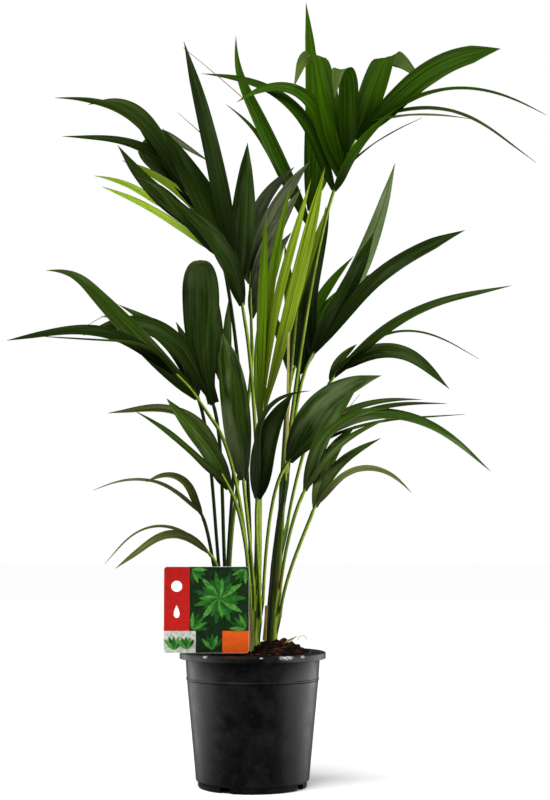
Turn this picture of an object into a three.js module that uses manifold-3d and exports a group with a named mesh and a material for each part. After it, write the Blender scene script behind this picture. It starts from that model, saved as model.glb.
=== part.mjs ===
// Kentia palm (Howea forsteriana), a young clump of three stems in a nursery pot.
// Units are millimetres. +Z is up, +X is to the right and -Y is the front.
// The origin is the centre of the pot's flat underside.
import * as THREE from "three";
import { mergeVertices } from "three/addons/utils/BufferGeometryUtils.js";
import Module from "manifold-3d";

const wasm = await Module();
wasm.setup();

// ---------------------------------------------------------------- driving sizes
const GAP = 0.3; // clear space between two pieces that touch

const POT_TOP = 172; // height of the rim
const POT_FLOOR = 1.8; // thickness of the floor
const POT_WALL = 1.6; // thickness of the wall
const RIM_RADIUS = 95;
const RIM_SKIRT = 8; // height of the turned-down edge of the rim
const RIM_THICK = 1.6;
const RIM_EDGE = 1; // rounding of the rim
const NECK_RADIUS = 87.6; // wall just under the rim
const RING_HEIGHT = 137; // moulded ring round the wall
const RING_RADIUS = 85.5; // wall at the ring
const RING_PROUD = 0.9; // how far the ring stands out
const RING_BAND = 2.5; // height of the ring
const FOOT_RADIUS = 70.5;
const FOOT_HEIGHT = 9;
const FOOT_EDGE = 2; // rounding under the foot
const WALL_FOOT_RADIUS = 73.1; // wall just above the foot
const POT_FACETS = 40;
const NOTCH_WIDE = 15;
const NOTCH_HIGH = 7;
const NOTCH_TURN = -29; // first drain notch, degrees from the front
const NOTCHES = 4;
const NOTCH_DEEP = 14; // along the pot's radius
const DRAIN_RADIUS = 4;
const DRAIN_CIRCLE = 46;
const POST_SIDES = 16;

const SOIL_EDGE = 165; // soil level at the wall
const SOIL_CROWN = 171; // soil level at the middle
const MOUND = { x: 30, y: 5, z: 146, wide: 52, deep: 50, high: 37 };

const CARD = { left: -113, right: -4, bottom: 173.5, top: 283, front: -45, thick: 1, corner: 4 };
const CARD_LEG = { x: -60, wide: 14, deep: 118, point: 22 }; // leg with its tip at this height
const SOCKET = { wider: 1, high: 80 }; // cut in the soil for whatever stands in it
const STEM_SIDES = 10;
const STEM_STEPS = 6;
const DRY_STEPS = 2;

const STALK_SIDES = 6;
const STALK_STEPS = 9;
const STALK_EASE = 0.22; // share of a stalk that eases into its stem, and into its frond
const RIB_SIDES = 5;
const RIB_STEPS = 4;
const RIB_FACET = 20; // length of one facet of a rib
const RIB_RADIUS = 2.3; // at the foot of a frond
const RIB_TIP = 0.6; // share of that radius left at its tip
const BLADE_STEPS = 6;
const BLADE_THICK = 0.012; // share of the blade's length
const BLADE_THIN = 0.4; // share of that thickness left at the tip
const BLADE_ROOT = 0.3; // share of the full width at the root
const BLADE_FOLD = 0.1; // rise of the midrib, as a share of the width
const WIDTH_RISE = 0.5; // powers of the outline of a blade
const WIDTH_FALL = 0.85; // the usual taper
const FOLD_TURN = 110; // a blade that turns further than this is folded over, degrees
const FOLD = 0.5; // share of the usual bend that a fold takes up
const FOLD_REACH = 14; // reach to the back that tilts a fold by half a right angle, millimetres

const COLOUR = {
  pot: 0x232324,
  soil: 0x2a2019,
  card: 0x9a2a1a,
  stem: 0x5d7a22,
  fibre: 0x28300f,
  stalk: 0x587a1e,
  dry: 0xa98a56,
  leaf: 0x2c4a12,
  leafNew: 0x86a82a,
  leafDark: 0x22380f,
};

// Each stem: foot and top of its axis, with the radius there, and how far it bows to the right.
const STEMS = {
  stem_left: { foot: [3, -3, 170], top: [5, -6, 256], radius: [8, 6.2], bow: -1, colour: COLOUR.stem },
  stem_right: { foot: [23, 10, 172], top: [41, 20, 392], radius: [8, 6.5], bow: -1, colour: COLOUR.fibre },
  stem_rear: { foot: [-21, 12, 169], top: [-31, 8, 214], radius: [8, 7], bow: 0, colour: COLOUR.stem },
};

// Each frond:
//   stalk  [stem, height on it or "top", degrees round it, foot radius, tip radius where it is thick]
//   tip    where the stalk ends and the frond begins
//   rib    [rise, ends, bends, long, back]
//   leaves [at, rise, ends, bends, long, wide, face, back, taper] for each leaflet
// at     place along the rib, from 0 to 1
// rise   angle at the root as seen from the front, 0 to the right, 90 up, 180 to the left
// ends   the same angle at the tip
// bends  place along the length where it bends most
// long   length as seen from the front
// wide   width of the blade
// face   turn of the blade about its length, 0 flat to the front, 90 edge on, over 90 underside
// back   how far its tip reaches to the back, which is also the way a folded blade goes over
// taper  how much it narrows towards the tip, where that isn't as usual
const FRONDS = {
  top_right: {
    stalk: ["stem_right", "top", 270, 2.6], tip: [105, 40, 776], rib: [72, 60, 0.5, 140, 10],
    leaves: [
      [0.35, 101, 252, 0.76, 226, 34, 20, 10],
      [0.5, 90, 264, 0.66, 178, 28, 15, -30],
      [0.65, 71, -42, 0.7, 192, 36, 15, 10],
      [0.7, 42, 5, 0.65, 224, 39, 22, -50, 0.45],
      [0.75, 34, -36, 0.5, 262, 30, 62, -100],
      [0.85, 14, -48, 0.4, 248, 22, 75, -150],
      [0.85, 0, -25, 0.5, 135, 14, 75, -130],
      [0.3, 35, 12, 0.5, 110, 14, 70, -120],
      [0.1, 66, 35, 0.5, 128, 24, 50, -60],
      [0.25, 105, 210, 0.65, 235, 28, 30, 60],
      [0.1, 105, 170, 0.55, 290, 28, 45, 100],
    ],
  },
  top_rear: {
    stalk: ["stem_right", "top", 180, 2.4], tip: [71, 110, 727], rib: [80, 85, 0.5, 85, 20],
    leaves: [
      [0.6, 87, 96, 0.55, 305, 28, 25, 10],
      [0.35, 114, 90, 0.83, 305, 24, 40, 40],
      [0.35, 116, 140, 0.75, 225, 20, 50, 60],
      [0.8, 65, 105, 0.35, 185, 24, 35, 120],
    ],
  },
  upper_left: {
    stalk: ["stem_left", 250, 160, 2.5], tip: [-39, -30, 679], rib: [103, 132, 0.5, 95, -20],
    leaves: [
      [0.95, 119, 184, 0.59, 228, 30, 50, -60],
      [0.75, 122, 194, 0.78, 222, 30, 25, -10],
      [0.7, 117, 180, 0.45, 225, 21, 45, -20],
      [0.3, 145, 125, 0.65, 170, 24, 30, -60],
      [0.4, 148, 169, 0.8, 185, 22, 112, 40],
      [0.15, 145, 157, 0.7, 190, 27, 110, 60],
      [0.55, 130, 160, 0.5, 140, 20, 118, -20],
      [0.1, 135, 165, 0.8, 135, 30, 50, -90],
      [0.9, 136, -32, 0.55, 222, 18, 30, 10],
    ],
  },
  upper_centre: {
    stalk: ["stem_left", 246, 285, 2.4], tip: [-8, -75, 587], rib: [99, 101, 0.5, 95, -10],
    leaves: [
      [0.9, 100, 106, 0.5, 288, 32, 35, -20],
      [0.6, 107, 122, 0.4, 225, 42, 25, 0],
      [0.6, 86, 88, 0.5, 195, 34, 30, 50],
      [0.3, 100, 140, 0.4, 165, 30, 35, -40],
    ],
  },
  rear_centre: {
    stalk: ["stem_rear", "top", 0, 2.2], tip: [-2, 45, 579], rib: [92, 92, 0.5, 110, 20],
    leaves: [
      [0.95, 88, 42, 0.55, 168, 24, 145, 20],
      [0.85, 76, 52, 0.5, 190, 28, 145, 30],
      [0.6, 75, 58, 0.5, 175, 26, 140, 45],
      [0.35, 90, 60, 0.3, 160, 26, 138, 160],
      [0.8, 100, 140, 0.5, 170, 26, 130, 190],
    ],
  },
  middle_left: {
    stalk: ["stem_left", 236, 198, 2.3], tip: [-47, -75, 464], rib: [125, 140, 0.7, 85, -30],
    leaves: [
      [0.95, 138, 193, 0.42, 221, 26, 45, -40],
      [0.45, 134, 180, 0.87, 262, 27, 30, 10],
      [0.9, 125, 180, 0.25, 175, 16, 70, -90],
      [0.85, 125, 180, 0.4, 185, 16, 70, 60],
    ],
  },
  middle_left_rear: {
    stalk: ["stem_rear", "top", 180, 2.2], tip: [-71, -20, 500], rib: [110, 120, 0.5, 25, -5],
    leaves: [
      [0.5, 98, 165, 0.45, 145, 24, 50, -30],
      [0.8, 114, 170, 0.5, 170, 22, 60, 60],
      [0.2, 95, 120, 0.5, 120, 24, 50, 120],
    ],
  },
  broad_left: {
    stalk: ["stem_rear", "top", 290, 2.4], tip: [-49, -55, 486], rib: [105, 105, 0.5, 15, -1],
    leaves: [
      [0.4, 105, 90, 0.35, 185, 52, 15, -15, 0.35],
      [0.3, 118, 205, 0.6, 222, 30, 40, -10],
    ],
  },
  broad_centre: {
    stalk: ["stem_left", 226, 262, 2.0], tip: [-11, -43, 388], rib: [95, 95, 0.5, 15, -2],
    leaves: [
      [0.4, 96, 103, 0.7, 190, 38, 25, -24, 0.55],
      [0.2, 92, 91, 0.5, 105, 14, 40, 12],
    ],
  },
  low_left: {
    stalk: ["stem_left", 220, 232, 2.0], tip: [-24, -95, 373], rib: [115, 120, 0.5, 30, -10],
    leaves: [
      [0.95, 101, 187, 0.42, 200, 30, 55, 60],
      [0.6, 138, 152, 0.7, 140, 22, 65, -50],
      [0.3, 112, 132, 0.35, 138, 32, 35, -20],
    ],
  },
  small_left: {
    stalk: ["stem_rear", 204, 200, 2.0], tip: [-63, -30, 343], rib: [110, 120, 0.5, 15, -2],
    leaves: [
      [0.7, 135, 205, 0.52, 146, 17, 70, -80],
      [0.5, 112, 210, 0.6, 105, 18, 50, 20],
    ],
  },
  lowest_left: {
    stalk: ["stem_rear", 190, 240, 1.8], tip: [-53, -38, 297], rib: [130, 130, 0.5, 12, -2],
    leaves: [
      [0.7, 136, 229, 0.45, 165, 14, 75, 50],
      [0.5, 133, 219, 0.35, 135, 18, 50, -60],
    ],
  },
  centre_new: {
    stalk: ["stem_left", "top", 60, 5.2, 4], tip: [9, 2, 448], rib: [87, 80, 0.5, 70, 5],
    colour: COLOUR.leafNew,
    leaves: [
      [0.2, 90, 87, 0.5, 285, 20, 35, -20],
      [0.2, 89, 77, 0.5, 328, 20, 30, -10],
      [0.25, 86, 74, 0.38, 342, 19, 30, 10],
      [0.35, 75, 77, 0.5, 352, 28, 25, 0],
      [0.4, 75, 71, 0.5, 302, 24, 35, 30],
      [0.1, 96, 72, 0.45, 270, 20, 40, 50],
    ],
  },
  right: {
    stalk: ["stem_right", "top", 0, 2.4], tip: [78, 64, 565], rib: [60, 60, 0.5, 15, 2],
    colour: COLOUR.leafDark,
    leaves: [
      [0.6, 59, 75, 0.5, 297, 30, 30, 50],
      [0.5, 60, 66, 0.5, 180, 28, 20, -30],
      [0.7, 53, 19, 0.55, 258, 29, 35, -60, 0.55],
      [0.3, 100, 76, 0.3, 225, 30, 37, 70],
    ],
  },
  right_rear: {
    stalk: ["stem_right", "top", 90, 2.4], tip: [62, 115, 540], rib: [85, 85, 0.5, 15, 4],
    colour: COLOUR.leafDark,
    leaves: [
      [0.6, 92, 72, 0.6, 200, 26, 40, 40],
      [0.7, 82, 80, 0.4, 260, 24, 45, 110],
      [0.4, 66, 62, 0.5, 150, 22, 50, 110],
    ],
  },
  middle_right: {
    stalk: ["stem_right", 330, 345, 2.1], tip: [101, 15, 523], rib: [60, 55, 0.5, 25, -4],
    leaves: [
      [0.5, 47, 9, 0.45, 262, 26, 50, -60],
      [0.6, 50, -36, 0.45, 206, 15, 75, -120],
      [0.9, 38, -44, 0.45, 180, 28, 40, 70],
      [0.2, 76, 40, 0.45, 68, 18, 45, 50],
    ],
  },
  low_right: {
    stalk: ["stem_left", 236, 350, 2.1], tip: [40, -50, 407], rib: [58, 52, 0.5, 20, -5],
    leaves: [
      [0.6, 67, 13, 0.55, 172, 38, 30, -10],
      [0.8, 42, -46, 0.47, 282, 26, 50, -120],
      [0.9, 41, -4, 0.5, 210, 23, 65, -70],
      [0.9, 30, 0, 0.4, 210, 14, 70, -180],
      [0.5, 52, 0, 0.5, 210, 18, 60, 70],
    ],
  },
  lower_right: {
    stalk: ["stem_right", 248, 315, 2.1], tip: [63, -95, 372], rib: [65, 65, 0.5, 15, -2],
    leaves: [
      [0.6, 77, 3, 0.55, 160, 24, 48, -40],
      [0.5, 76, 50, 0.5, 145, 22, 40, -25],
      [0.7, 60, 20, 0.5, 130, 18, 60, -100],
    ],
  },
  lowest_right: {
    stalk: ["stem_right", 216, 335, 2.1], tip: [75, -128, 350], rib: [68, 66, 0.5, 15, -2],
    leaves: [
      [0.5, 77, 42, 0.6, 122, 25, 45, 60],
      [0.7, 70, 26, 0.45, 120, 18, 55, -10],
      [0.8, 52, -50, 0.55, 140, 18, 60, -70],
    ],
  },
  low_centre: {
    stalk: ["stem_left", 208, 318, 1.9], tip: [6, -66, 362], rib: [85, 85, 0.5, 12, -2],
    colour: COLOUR.leafDark,
    leaves: [
      [0.6, 84, 52, 0.6, 145, 32, 25, -15],
      [0.5, 90, 4, 0.68, 178, 14, 60, -30],
    ],
  },
  rear_left: {
    stalk: ["stem_rear", "top", 70, 2.2], tip: [-32, 90, 500], rib: [108, 124, 0.5, 80, 40],
    leaves: [
      [0.9, 140, 152, 0.5, 165, 26, 55, 80],
      [0.7, 136, 162, 0.5, 180, 26, 50, 150],
      [0.5, 94, 98, 0.5, 160, 26, 45, 120],
      [0.3, 92, 88, 0.5, 150, 24, 50, 160],
    ],
  },
  rear_right: {
    stalk: ["stem_right", 300, 90, 2.2], tip: [48, 150, 520], rib: [80, 66, 0.5, 90, 60],
    leaves: [
      [0.95, 64, 30, 0.5, 170, 26, 50, 110],
      [0.75, 76, 50, 0.5, 190, 26, 50, 150],
      [0.5, 92, 96, 0.5, 200, 26, 45, 130],
      [0.3, 100, 120, 0.5, 170, 24, 50, 150],
    ],
  },
};

// Two dead stalks: where each starts and ends, with its radius.
const DRY_STALKS = {
  dry_stalk: { foot: [44.5, 4, 405], tip: [47, -4, 590], radius: [2.2, 1.8] },
  cut_stub: { foot: [15.5, -9, 187], tip: [18, -11, 232], radius: [2.4, 2] },
};

// ---------------------------------------------------------------- small helpers
const radians = THREE.MathUtils.degToRad;
const vector = (point) => new THREE.Vector3(...point);
const mix = THREE.MathUtils.lerp;

function solidOf(geometry) {
  geometry.deleteAttribute("normal");
  geometry.deleteAttribute("uv");
  const joined = mergeVertices(geometry, 1e-4);
  return new wasm.Manifold(
    new wasm.Mesh({
      numProp: 3,
      vertProperties: new Float32Array(joined.attributes.position.array),
      triVerts: new Uint32Array(joined.index.array),
    }),
  );
}

function geometryOf(solid) {
  const mesh = solid.getMesh();
  const geometry = new THREE.BufferGeometry();
  const places = new Float32Array(mesh.vertProperties);
  geometry.setAttribute("position", new THREE.BufferAttribute(places, 3));
  geometry.setIndex(new THREE.BufferAttribute(new Uint32Array(mesh.triVerts), 1));
  return geometry;
}

// The main body of a solid, without loose scraps.
function largest(solid) {
  return solid.decompose().reduce((best, body) => (body.volume() > best.volume() ? body : best));
}

// A closed skin over rings of equal count, ending flat or in a point.
function skin(rings, tip) {
  const sides = rings[0].length;
  const corners = rings.flat();
  const faces = [];
  for (let ring = 0; ring + 1 < rings.length; ring += 1) {
    for (let side = 0; side < sides; side += 1) {
      const next = (side + 1) % sides;
      const a = ring * sides + side;
      const b = ring * sides + next;
      // both sides of a blade are split the same way, so that they can't cross where it twists
      if (side < sides / 2) faces.push(a, b, b + sides, a, b + sides, a + sides);
      else faces.push(a, b, a + sides, b, b + sides, a + sides);
    }
  }
  const last = (rings.length - 1) * sides;
  for (let side = 1; side + 1 < sides; side += 1) {
    faces.push(0, side + 1, side);
    if (!tip) faces.push(last, last + side, last + side + 1);
  }
  if (tip) {
    corners.push(tip);
    for (let side = 0; side < sides; side += 1) {
      faces.push(last + side, last + ((side + 1) % sides), corners.length - 1);
    }
  }
  const geometry = new THREE.BufferGeometry().setFromPoints(corners);
  geometry.setIndex(faces);
  return geometry;
}

// Axes across a path: the first points to the front as far as the path allows.
function across(tangent) {
  const front = new THREE.Vector3(0, -1, 0);
  front.addScaledVector(tangent, -front.dot(tangent)).normalize();
  const side = new THREE.Vector3().crossVectors(front, tangent);
  return { front, side };
}

// A tapering limb along a curve.
function limb(curve, rootRadius, tipRadius, sides, steps) {
  const rings = [];
  for (let step = 0; step <= steps; step += 1) {
    const share = step / steps;
    const centre = curve.getPoint(share);
    const { front, side } = across(curve.getTangent(share));
    const radius = mix(rootRadius, tipRadius, share);
    const ring = [];
    for (let corner = 0; corner < sides; corner += 1) {
      const angle = (2 * Math.PI * corner) / sides;
      const point = centre.clone().addScaledVector(side, radius * Math.cos(angle));
      ring.push(point.addScaledVector(front, radius * Math.sin(angle)));
    }
    rings.push(ring);
  }
  return skin(rings);
}

// ---------------------------------------------------------------- rule of ribs and blades
const folded = (rise, ends) => Math.abs(rise - ends) > FOLD_TURN;

// How far a blade has turned at a share of its length, from 0 to 1.
function turned(share, rise, ends, bends) {
  const half = (folded(rise, ends) ? FOLD : 1) * Math.min(bends, 1 - bends);
  return THREE.MathUtils.smoothstep((share - bends) / (2 * half) + 0.5, 0, 1);
}

function heading(angle) {
  return new THREE.Vector3(Math.cos(radians(angle)), 0, Math.sin(radians(angle)));
}

// The direction of a path at a share of its length, without its reach to the back.
function direction(share, rise, ends, bends, back) {
  const turn = turned(share, rise, ends, bends);
  const way = heading(mix(rise, ends, turn));
  if (folded(rise, ends)) way.y = (back / FOLD_REACH) * Math.sin(Math.PI * turn);
  return way.normalize();
}

// The path of a rib or blade that leaves a place at one angle and ends at another.
function path(start, rise, ends, bends, long, back, steps) {
  const finer = 4;
  const pace = 1 / (steps * finer);
  const point = start.clone();
  const points = [point.clone()];
  for (let step = 0; step < steps * finer; step += 1) {
    point.addScaledVector(direction((step + 0.5) * pace, rise, ends, bends, back), long * pace);
    point.y += back * pace;
    if ((step + 1) % finer === 0) points.push(point.clone());
  }
  return points;
}

// Axes across a blade at a share of its length. A folded blade shows its underside beyond the fold.
function acrossBlade(tangent, share, rise, ends, bends, back) {
  if (!folded(rise, ends)) return across(tangent);
  const turn = Math.PI * turned(share, rise, ends, bends);
  const front = new THREE.Vector3(0, -Math.cos(turn), Math.sign(back) * Math.sin(turn));
  front.addScaledVector(tangent, -front.dot(tangent)).normalize();
  return { front, side: new THREE.Vector3().crossVectors(front, tangent) };
}

// Width of a blade at a share of its length, as a share of its full width.
function outline(share, taper) {
  const peak = WIDTH_RISE / (WIDTH_RISE + taper);
  const full = peak ** WIDTH_RISE * (1 - peak) ** taper;
  return Math.max((share ** WIDTH_RISE * (1 - share) ** taper) / full, share < peak ? BLADE_ROOT : 0);
}

function blade(start, [, rise, ends, bends, long, wide, face, back, taper = WIDTH_FALL]) {
  const points = path(start, rise, ends, bends, long, back, BLADE_STEPS);
  const thick = BLADE_THICK * Math.hypot(long, back);
  const roll = radians(face);
  const way = Math.sign(rise - ends) || 1;
  const rings = [];
  for (let step = 0; step < BLADE_STEPS; step += 1) {
    const before = points[Math.max(step - 1, 0)];
    const tangent = points[step + 1].clone().sub(before).normalize();
    const { front, side } = acrossBlade(tangent, step / BLADE_STEPS, rise, ends, bends, back);
    const upper = front.clone().multiplyScalar(Math.cos(roll));
    upper.addScaledVector(side, way * Math.sin(roll));
    const edge = new THREE.Vector3().crossVectors(upper, tangent);
    const share = outline(step / BLADE_STEPS, taper);
    const half = (wide * share) / 2;
    const fold = BLADE_FOLD * wide * share;
    const depth = thick * mix(BLADE_THIN, 1, share);
    const centre = points[step];
    rings.push([
      centre.clone().addScaledVector(edge, half).addScaledVector(upper, -fold / 2),
      centre.clone().addScaledVector(upper, (fold + depth) / 2),
      centre.clone().addScaledVector(edge, -half).addScaledVector(upper, -fold / 2),
      centre.clone().addScaledVector(upper, (fold - depth) / 2),
    ]);
  }
  return solidOf(skin(rings, points[BLADE_STEPS]));
}

// ---------------------------------------------------------------- pot, soil and card
function revolve(profile) {
  const points = profile.map(([radius, height]) => new THREE.Vector2(radius, height));
  const geometry = new THREE.LatheGeometry(points, POT_FACETS);
  geometry.rotateX(Math.PI / 2);
  return geometry;
}

function box(wide, deep, high, x, y, z) {
  const geometry = new THREE.BoxGeometry(wide, deep, high);
  geometry.translate(x, y, z);
  return geometry;
}

function post(radius, bottom, top, x, y) {
  const geometry = new THREE.CylinderGeometry(radius, radius, top - bottom, POST_SIDES);
  geometry.rotateX(Math.PI / 2);
  geometry.translate(x, y, (bottom + top) / 2);
  return geometry;
}

function potSolid() {
  const slope = (RING_RADIUS - WALL_FOOT_RADIUS) / (RING_HEIGHT - FOOT_HEIGHT);
  const profile = [
    [0, 0],
    [FOOT_RADIUS - FOOT_EDGE, 0],
    [FOOT_RADIUS, FOOT_EDGE],
    [FOOT_RADIUS, FOOT_HEIGHT - 1],
    [WALL_FOOT_RADIUS, FOOT_HEIGHT],
    [RING_RADIUS - slope, RING_HEIGHT - 1],
    [RING_RADIUS + RING_PROUD, RING_HEIGHT],
    [RING_RADIUS + RING_PROUD, RING_HEIGHT + RING_BAND - 1],
    [mix(RING_RADIUS, NECK_RADIUS, RING_BAND / (POT_TOP - RING_HEIGHT)), RING_HEIGHT + RING_BAND],
    [NECK_RADIUS, POT_TOP - RIM_THICK],
    [RIM_RADIUS - RIM_THICK, POT_TOP - RIM_THICK],
    [RIM_RADIUS - RIM_THICK, POT_TOP - RIM_SKIRT],
    [RIM_RADIUS, POT_TOP - RIM_SKIRT],
    [RIM_RADIUS, POT_TOP - RIM_EDGE],
    [RIM_RADIUS - RIM_EDGE, POT_TOP],
    [NECK_RADIUS - POT_WALL, POT_TOP],
    [RING_RADIUS - POT_WALL, RING_HEIGHT],
    [WALL_FOOT_RADIUS - POT_WALL, FOOT_HEIGHT],
    [FOOT_RADIUS - POT_WALL, FOOT_HEIGHT - 3],
    [FOOT_RADIUS - POT_WALL, POT_FLOOR],
    [0, POT_FLOOR],
  ];
  let pot = solidOf(revolve(profile));
  for (let notch = 0; notch < NOTCHES; notch += 1) {
    const turn = radians(NOTCH_TURN - 90 + (360 * notch) / NOTCHES);
    const cut = new THREE.BoxGeometry(NOTCH_DEEP, NOTCH_WIDE, 2 * NOTCH_HIGH);
    cut.rotateZ(turn);
    cut.translate(FOOT_RADIUS * Math.cos(turn), FOOT_RADIUS * Math.sin(turn), 0);
    pot = pot.subtract(solidOf(cut));
    const hole = turn + Math.PI / NOTCHES;
    const x = DRAIN_CIRCLE * Math.cos(hole);
    const y = DRAIN_CIRCLE * Math.sin(hole);
    pot = pot.subtract(solidOf(post(DRAIN_RADIUS, -POT_FLOOR, 2 * POT_FLOOR, x, y)));
  }
  return pot;
}

// A round socket in the soil for a stem's or stalk's foot.
function socket([x, y, foot], radius) {
  return solidOf(post(radius + SOCKET.wider, foot - GAP, foot + SOCKET.high, x, y));
}

function soilSolid() {
  const inset = POT_WALL + GAP;
  const body = solidOf(
    revolve([
      [0, POT_FLOOR + GAP],
      [FOOT_RADIUS - inset, POT_FLOOR + GAP],
      [FOOT_RADIUS - inset, FOOT_HEIGHT - 3],
      [WALL_FOOT_RADIUS - inset, FOOT_HEIGHT],
      [RING_RADIUS - inset, RING_HEIGHT],
      [mix(RING_RADIUS, NECK_RADIUS, 0.8) - inset, SOIL_EDGE],
      [0, SOIL_CROWN],
    ]),
  );
  const mound = new THREE.SphereGeometry(1, 18, 10);
  mound.scale(MOUND.wide, MOUND.deep, MOUND.high);
  mound.translate(MOUND.x, MOUND.y, MOUND.z);
  let soil = body.add(solidOf(mound));
  for (const standing of [...Object.values(STEMS), DRY_STALKS.cut_stub]) {
    soil = soil.subtract(socket(standing.foot, standing.radius[0]));
  }
  const { x, wide, deep } = CARD_LEG;
  const slot = box(wide + SOCKET.wider, CARD.thick + SOCKET.wider, SOCKET.high, x, CARD.front, 0);
  slot.translate(0, 0, deep - SOCKET.wider + SOCKET.high / 2);
  return soil.subtract(solidOf(slot));
}

function cardSolid() {
  const { left, right, bottom, top, corner, thick, front } = CARD;
  const half = CARD_LEG.wide / 2;
  const face = new THREE.Shape();
  face.moveTo(left + corner, bottom);
  face.lineTo(CARD_LEG.x - half, bottom);
  face.lineTo(CARD_LEG.x - half, CARD_LEG.deep + CARD_LEG.point);
  face.lineTo(CARD_LEG.x, CARD_LEG.deep);
  face.lineTo(CARD_LEG.x + half, CARD_LEG.deep + CARD_LEG.point);
  face.lineTo(CARD_LEG.x + half, bottom);
  face.lineTo(right - corner, bottom);
  face.absarc(right - corner, bottom + corner, corner, -Math.PI / 2, 0);
  face.absarc(right - corner, top - corner, corner, 0, Math.PI / 2);
  face.absarc(left + corner, top - corner, corner, Math.PI / 2, Math.PI);
  face.absarc(left + corner, bottom + corner, corner, Math.PI, 1.5 * Math.PI);
  const geometry = new THREE.ExtrudeGeometry(face, { depth: thick, bevelEnabled: false, curveSegments: 4 });
  geometry.rotateX(Math.PI / 2);
  geometry.translate(0, front + thick / 2, 0);
  return solidOf(geometry);
}

// ---------------------------------------------------------------- stems, stalks and fronds
function stemCurve(stem) {
  const foot = vector(stem.foot);
  const top = vector(stem.top);
  const middle = foot.clone().lerp(top, 0.5);
  middle.x += 2 * stem.bow;
  return new THREE.QuadraticBezierCurve3(foot, middle, top);
}

function stemSolid(stem) {
  const curve = stemCurve(stem);
  const [rootRadius, topRadius] = stem.radius;
  const solid = solidOf(limb(curve, rootRadius, topRadius, STEM_SIDES, STEM_STEPS));
  const size = 4 * rootRadius;
  const slab = box(size, size, size, stem.foot[0], stem.foot[1], stem.foot[2] - size / 2);
  return solid.subtract(solidOf(slab));
}

// Where a stalk stands: on its stem's flat top, or beside the stem at a height.
function stalkFoot([stemName, height, around, radius]) {
  const stem = STEMS[stemName];
  const turn = radians(around);
  const onTop = height === "top";
  const share = onTop ? 1 : (height - stem.foot[2]) / (stem.top[2] - stem.foot[2]);
  const curve = stemCurve(stem);
  const point = curve.getPoint(share);
  const stemRadius = mix(stem.radius[0], stem.radius[1], share);
  const reach = onTop ? stemRadius - radius - GAP : stemRadius + radius + 3 * GAP;
  const tangent = curve.getTangent(share);
  point.x += reach * Math.cos(turn);
  point.y += reach * Math.sin(turn);
  if (onTop) point.addScaledVector(tangent, 4 * GAP);
  return { point, tangent };
}

// The direction in which a rib leaves the tip of its stalk.
function ribStart([rise, , , long, back]) {
  const angle = radians(rise);
  return new THREE.Vector3(Math.cos(angle), back / long, Math.sin(angle)).normalize();
}

function stalkCurve(frond) {
  const { point, tangent } = stalkFoot(frond.stalk);
  const tip = vector(frond.tip);
  const reach = STALK_EASE * tip.distanceTo(point);
  const lower = point.clone().addScaledVector(tangent, reach);
  const upper = tip.clone().addScaledVector(ribStart(frond.rib), -reach);
  return new THREE.CubicBezierCurve3(point, lower, upper, tip);
}

function frondSolid(frond) {
  const [rise, ends, bends, long, back] = frond.rib;
  const start = vector(frond.tip).addScaledVector(ribStart(frond.rib), 3 * GAP);
  const ribPath = new THREE.CatmullRomCurve3(path(start, rise, ends, bends, long, back, RIB_STEPS));
  const ribRadius = frond.stalk[4] ?? RIB_RADIUS;
  const ribSteps = Math.max(2, Math.round(long / RIB_FACET));
  let solid = solidOf(limb(ribPath, ribRadius, ribRadius * RIB_TIP, RIB_SIDES, ribSteps));
  for (const leaf of frond.leaves) {
    solid = solid.add(blade(ribPath.getPoint(leaf[0]), leaf));
  }
  return largest(solid);
}

// ---------------------------------------------------------------- the plant
const group = new THREE.Group();

function piece(name, solid, colour, roughness) {
  const material = new THREE.MeshStandardMaterial({ color: colour, roughness, metalness: 0 });
  const mesh = new THREE.Mesh(geometryOf(solid), material);
  mesh.name = name;
  group.add(mesh);
}

piece("pot", potSolid(), COLOUR.pot, 0.4);
piece("soil", soilSolid(), COLOUR.soil, 0.95);
piece("plant_card", cardSolid(), COLOUR.card, 0.35);

for (const [name, stem] of Object.entries(STEMS)) {
  piece(name, stemSolid(stem), stem.colour, 0.6);
}

for (const [name, stalk] of Object.entries(DRY_STALKS)) {
  const line = new THREE.LineCurve3(vector(stalk.foot), vector(stalk.tip));
  piece(name, solidOf(limb(line, ...stalk.radius, STALK_SIDES, DRY_STEPS)), COLOUR.dry, 0.8);
}

for (const [name, frond] of Object.entries(FRONDS)) {
  const [, , , footRadius, tipRadius = RIB_RADIUS] = frond.stalk;
  const stalk = limb(stalkCurve(frond), footRadius, tipRadius, STALK_SIDES, STALK_STEPS);
  piece(`stalk_${name}`, solidOf(stalk), COLOUR.stalk, 0.5);
  piece(`frond_${name}`, frondSolid(frond), frond.colour ?? COLOUR.leaf, 0.4);
}

export default group;
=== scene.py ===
"""Looks of a young kentia palm, a clump of three stems in a black nursery pot with its care card.

Sizes are in millimetres, as on a drawing, and MM turns them into Blender's metres.
+Z is up, +X is to the right and -Y is the front. The origin is the centre of the pot's underside.
"""

import math
import random

import bmesh
import bpy
from mathutils import Matrix, Vector, geometry, noise


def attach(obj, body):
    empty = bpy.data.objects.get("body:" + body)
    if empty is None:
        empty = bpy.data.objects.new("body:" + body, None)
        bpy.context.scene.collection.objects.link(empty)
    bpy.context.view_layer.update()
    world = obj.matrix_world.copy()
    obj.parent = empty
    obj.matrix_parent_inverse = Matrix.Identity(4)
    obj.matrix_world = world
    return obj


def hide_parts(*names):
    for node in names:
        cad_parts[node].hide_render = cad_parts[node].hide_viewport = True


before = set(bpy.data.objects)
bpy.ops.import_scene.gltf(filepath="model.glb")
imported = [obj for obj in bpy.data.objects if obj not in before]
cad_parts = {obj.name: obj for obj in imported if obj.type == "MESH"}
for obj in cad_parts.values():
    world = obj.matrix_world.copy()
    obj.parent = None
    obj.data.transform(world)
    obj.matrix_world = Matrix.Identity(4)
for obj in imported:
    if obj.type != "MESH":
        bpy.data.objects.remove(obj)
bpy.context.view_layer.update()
dice = random.Random(27)

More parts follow.
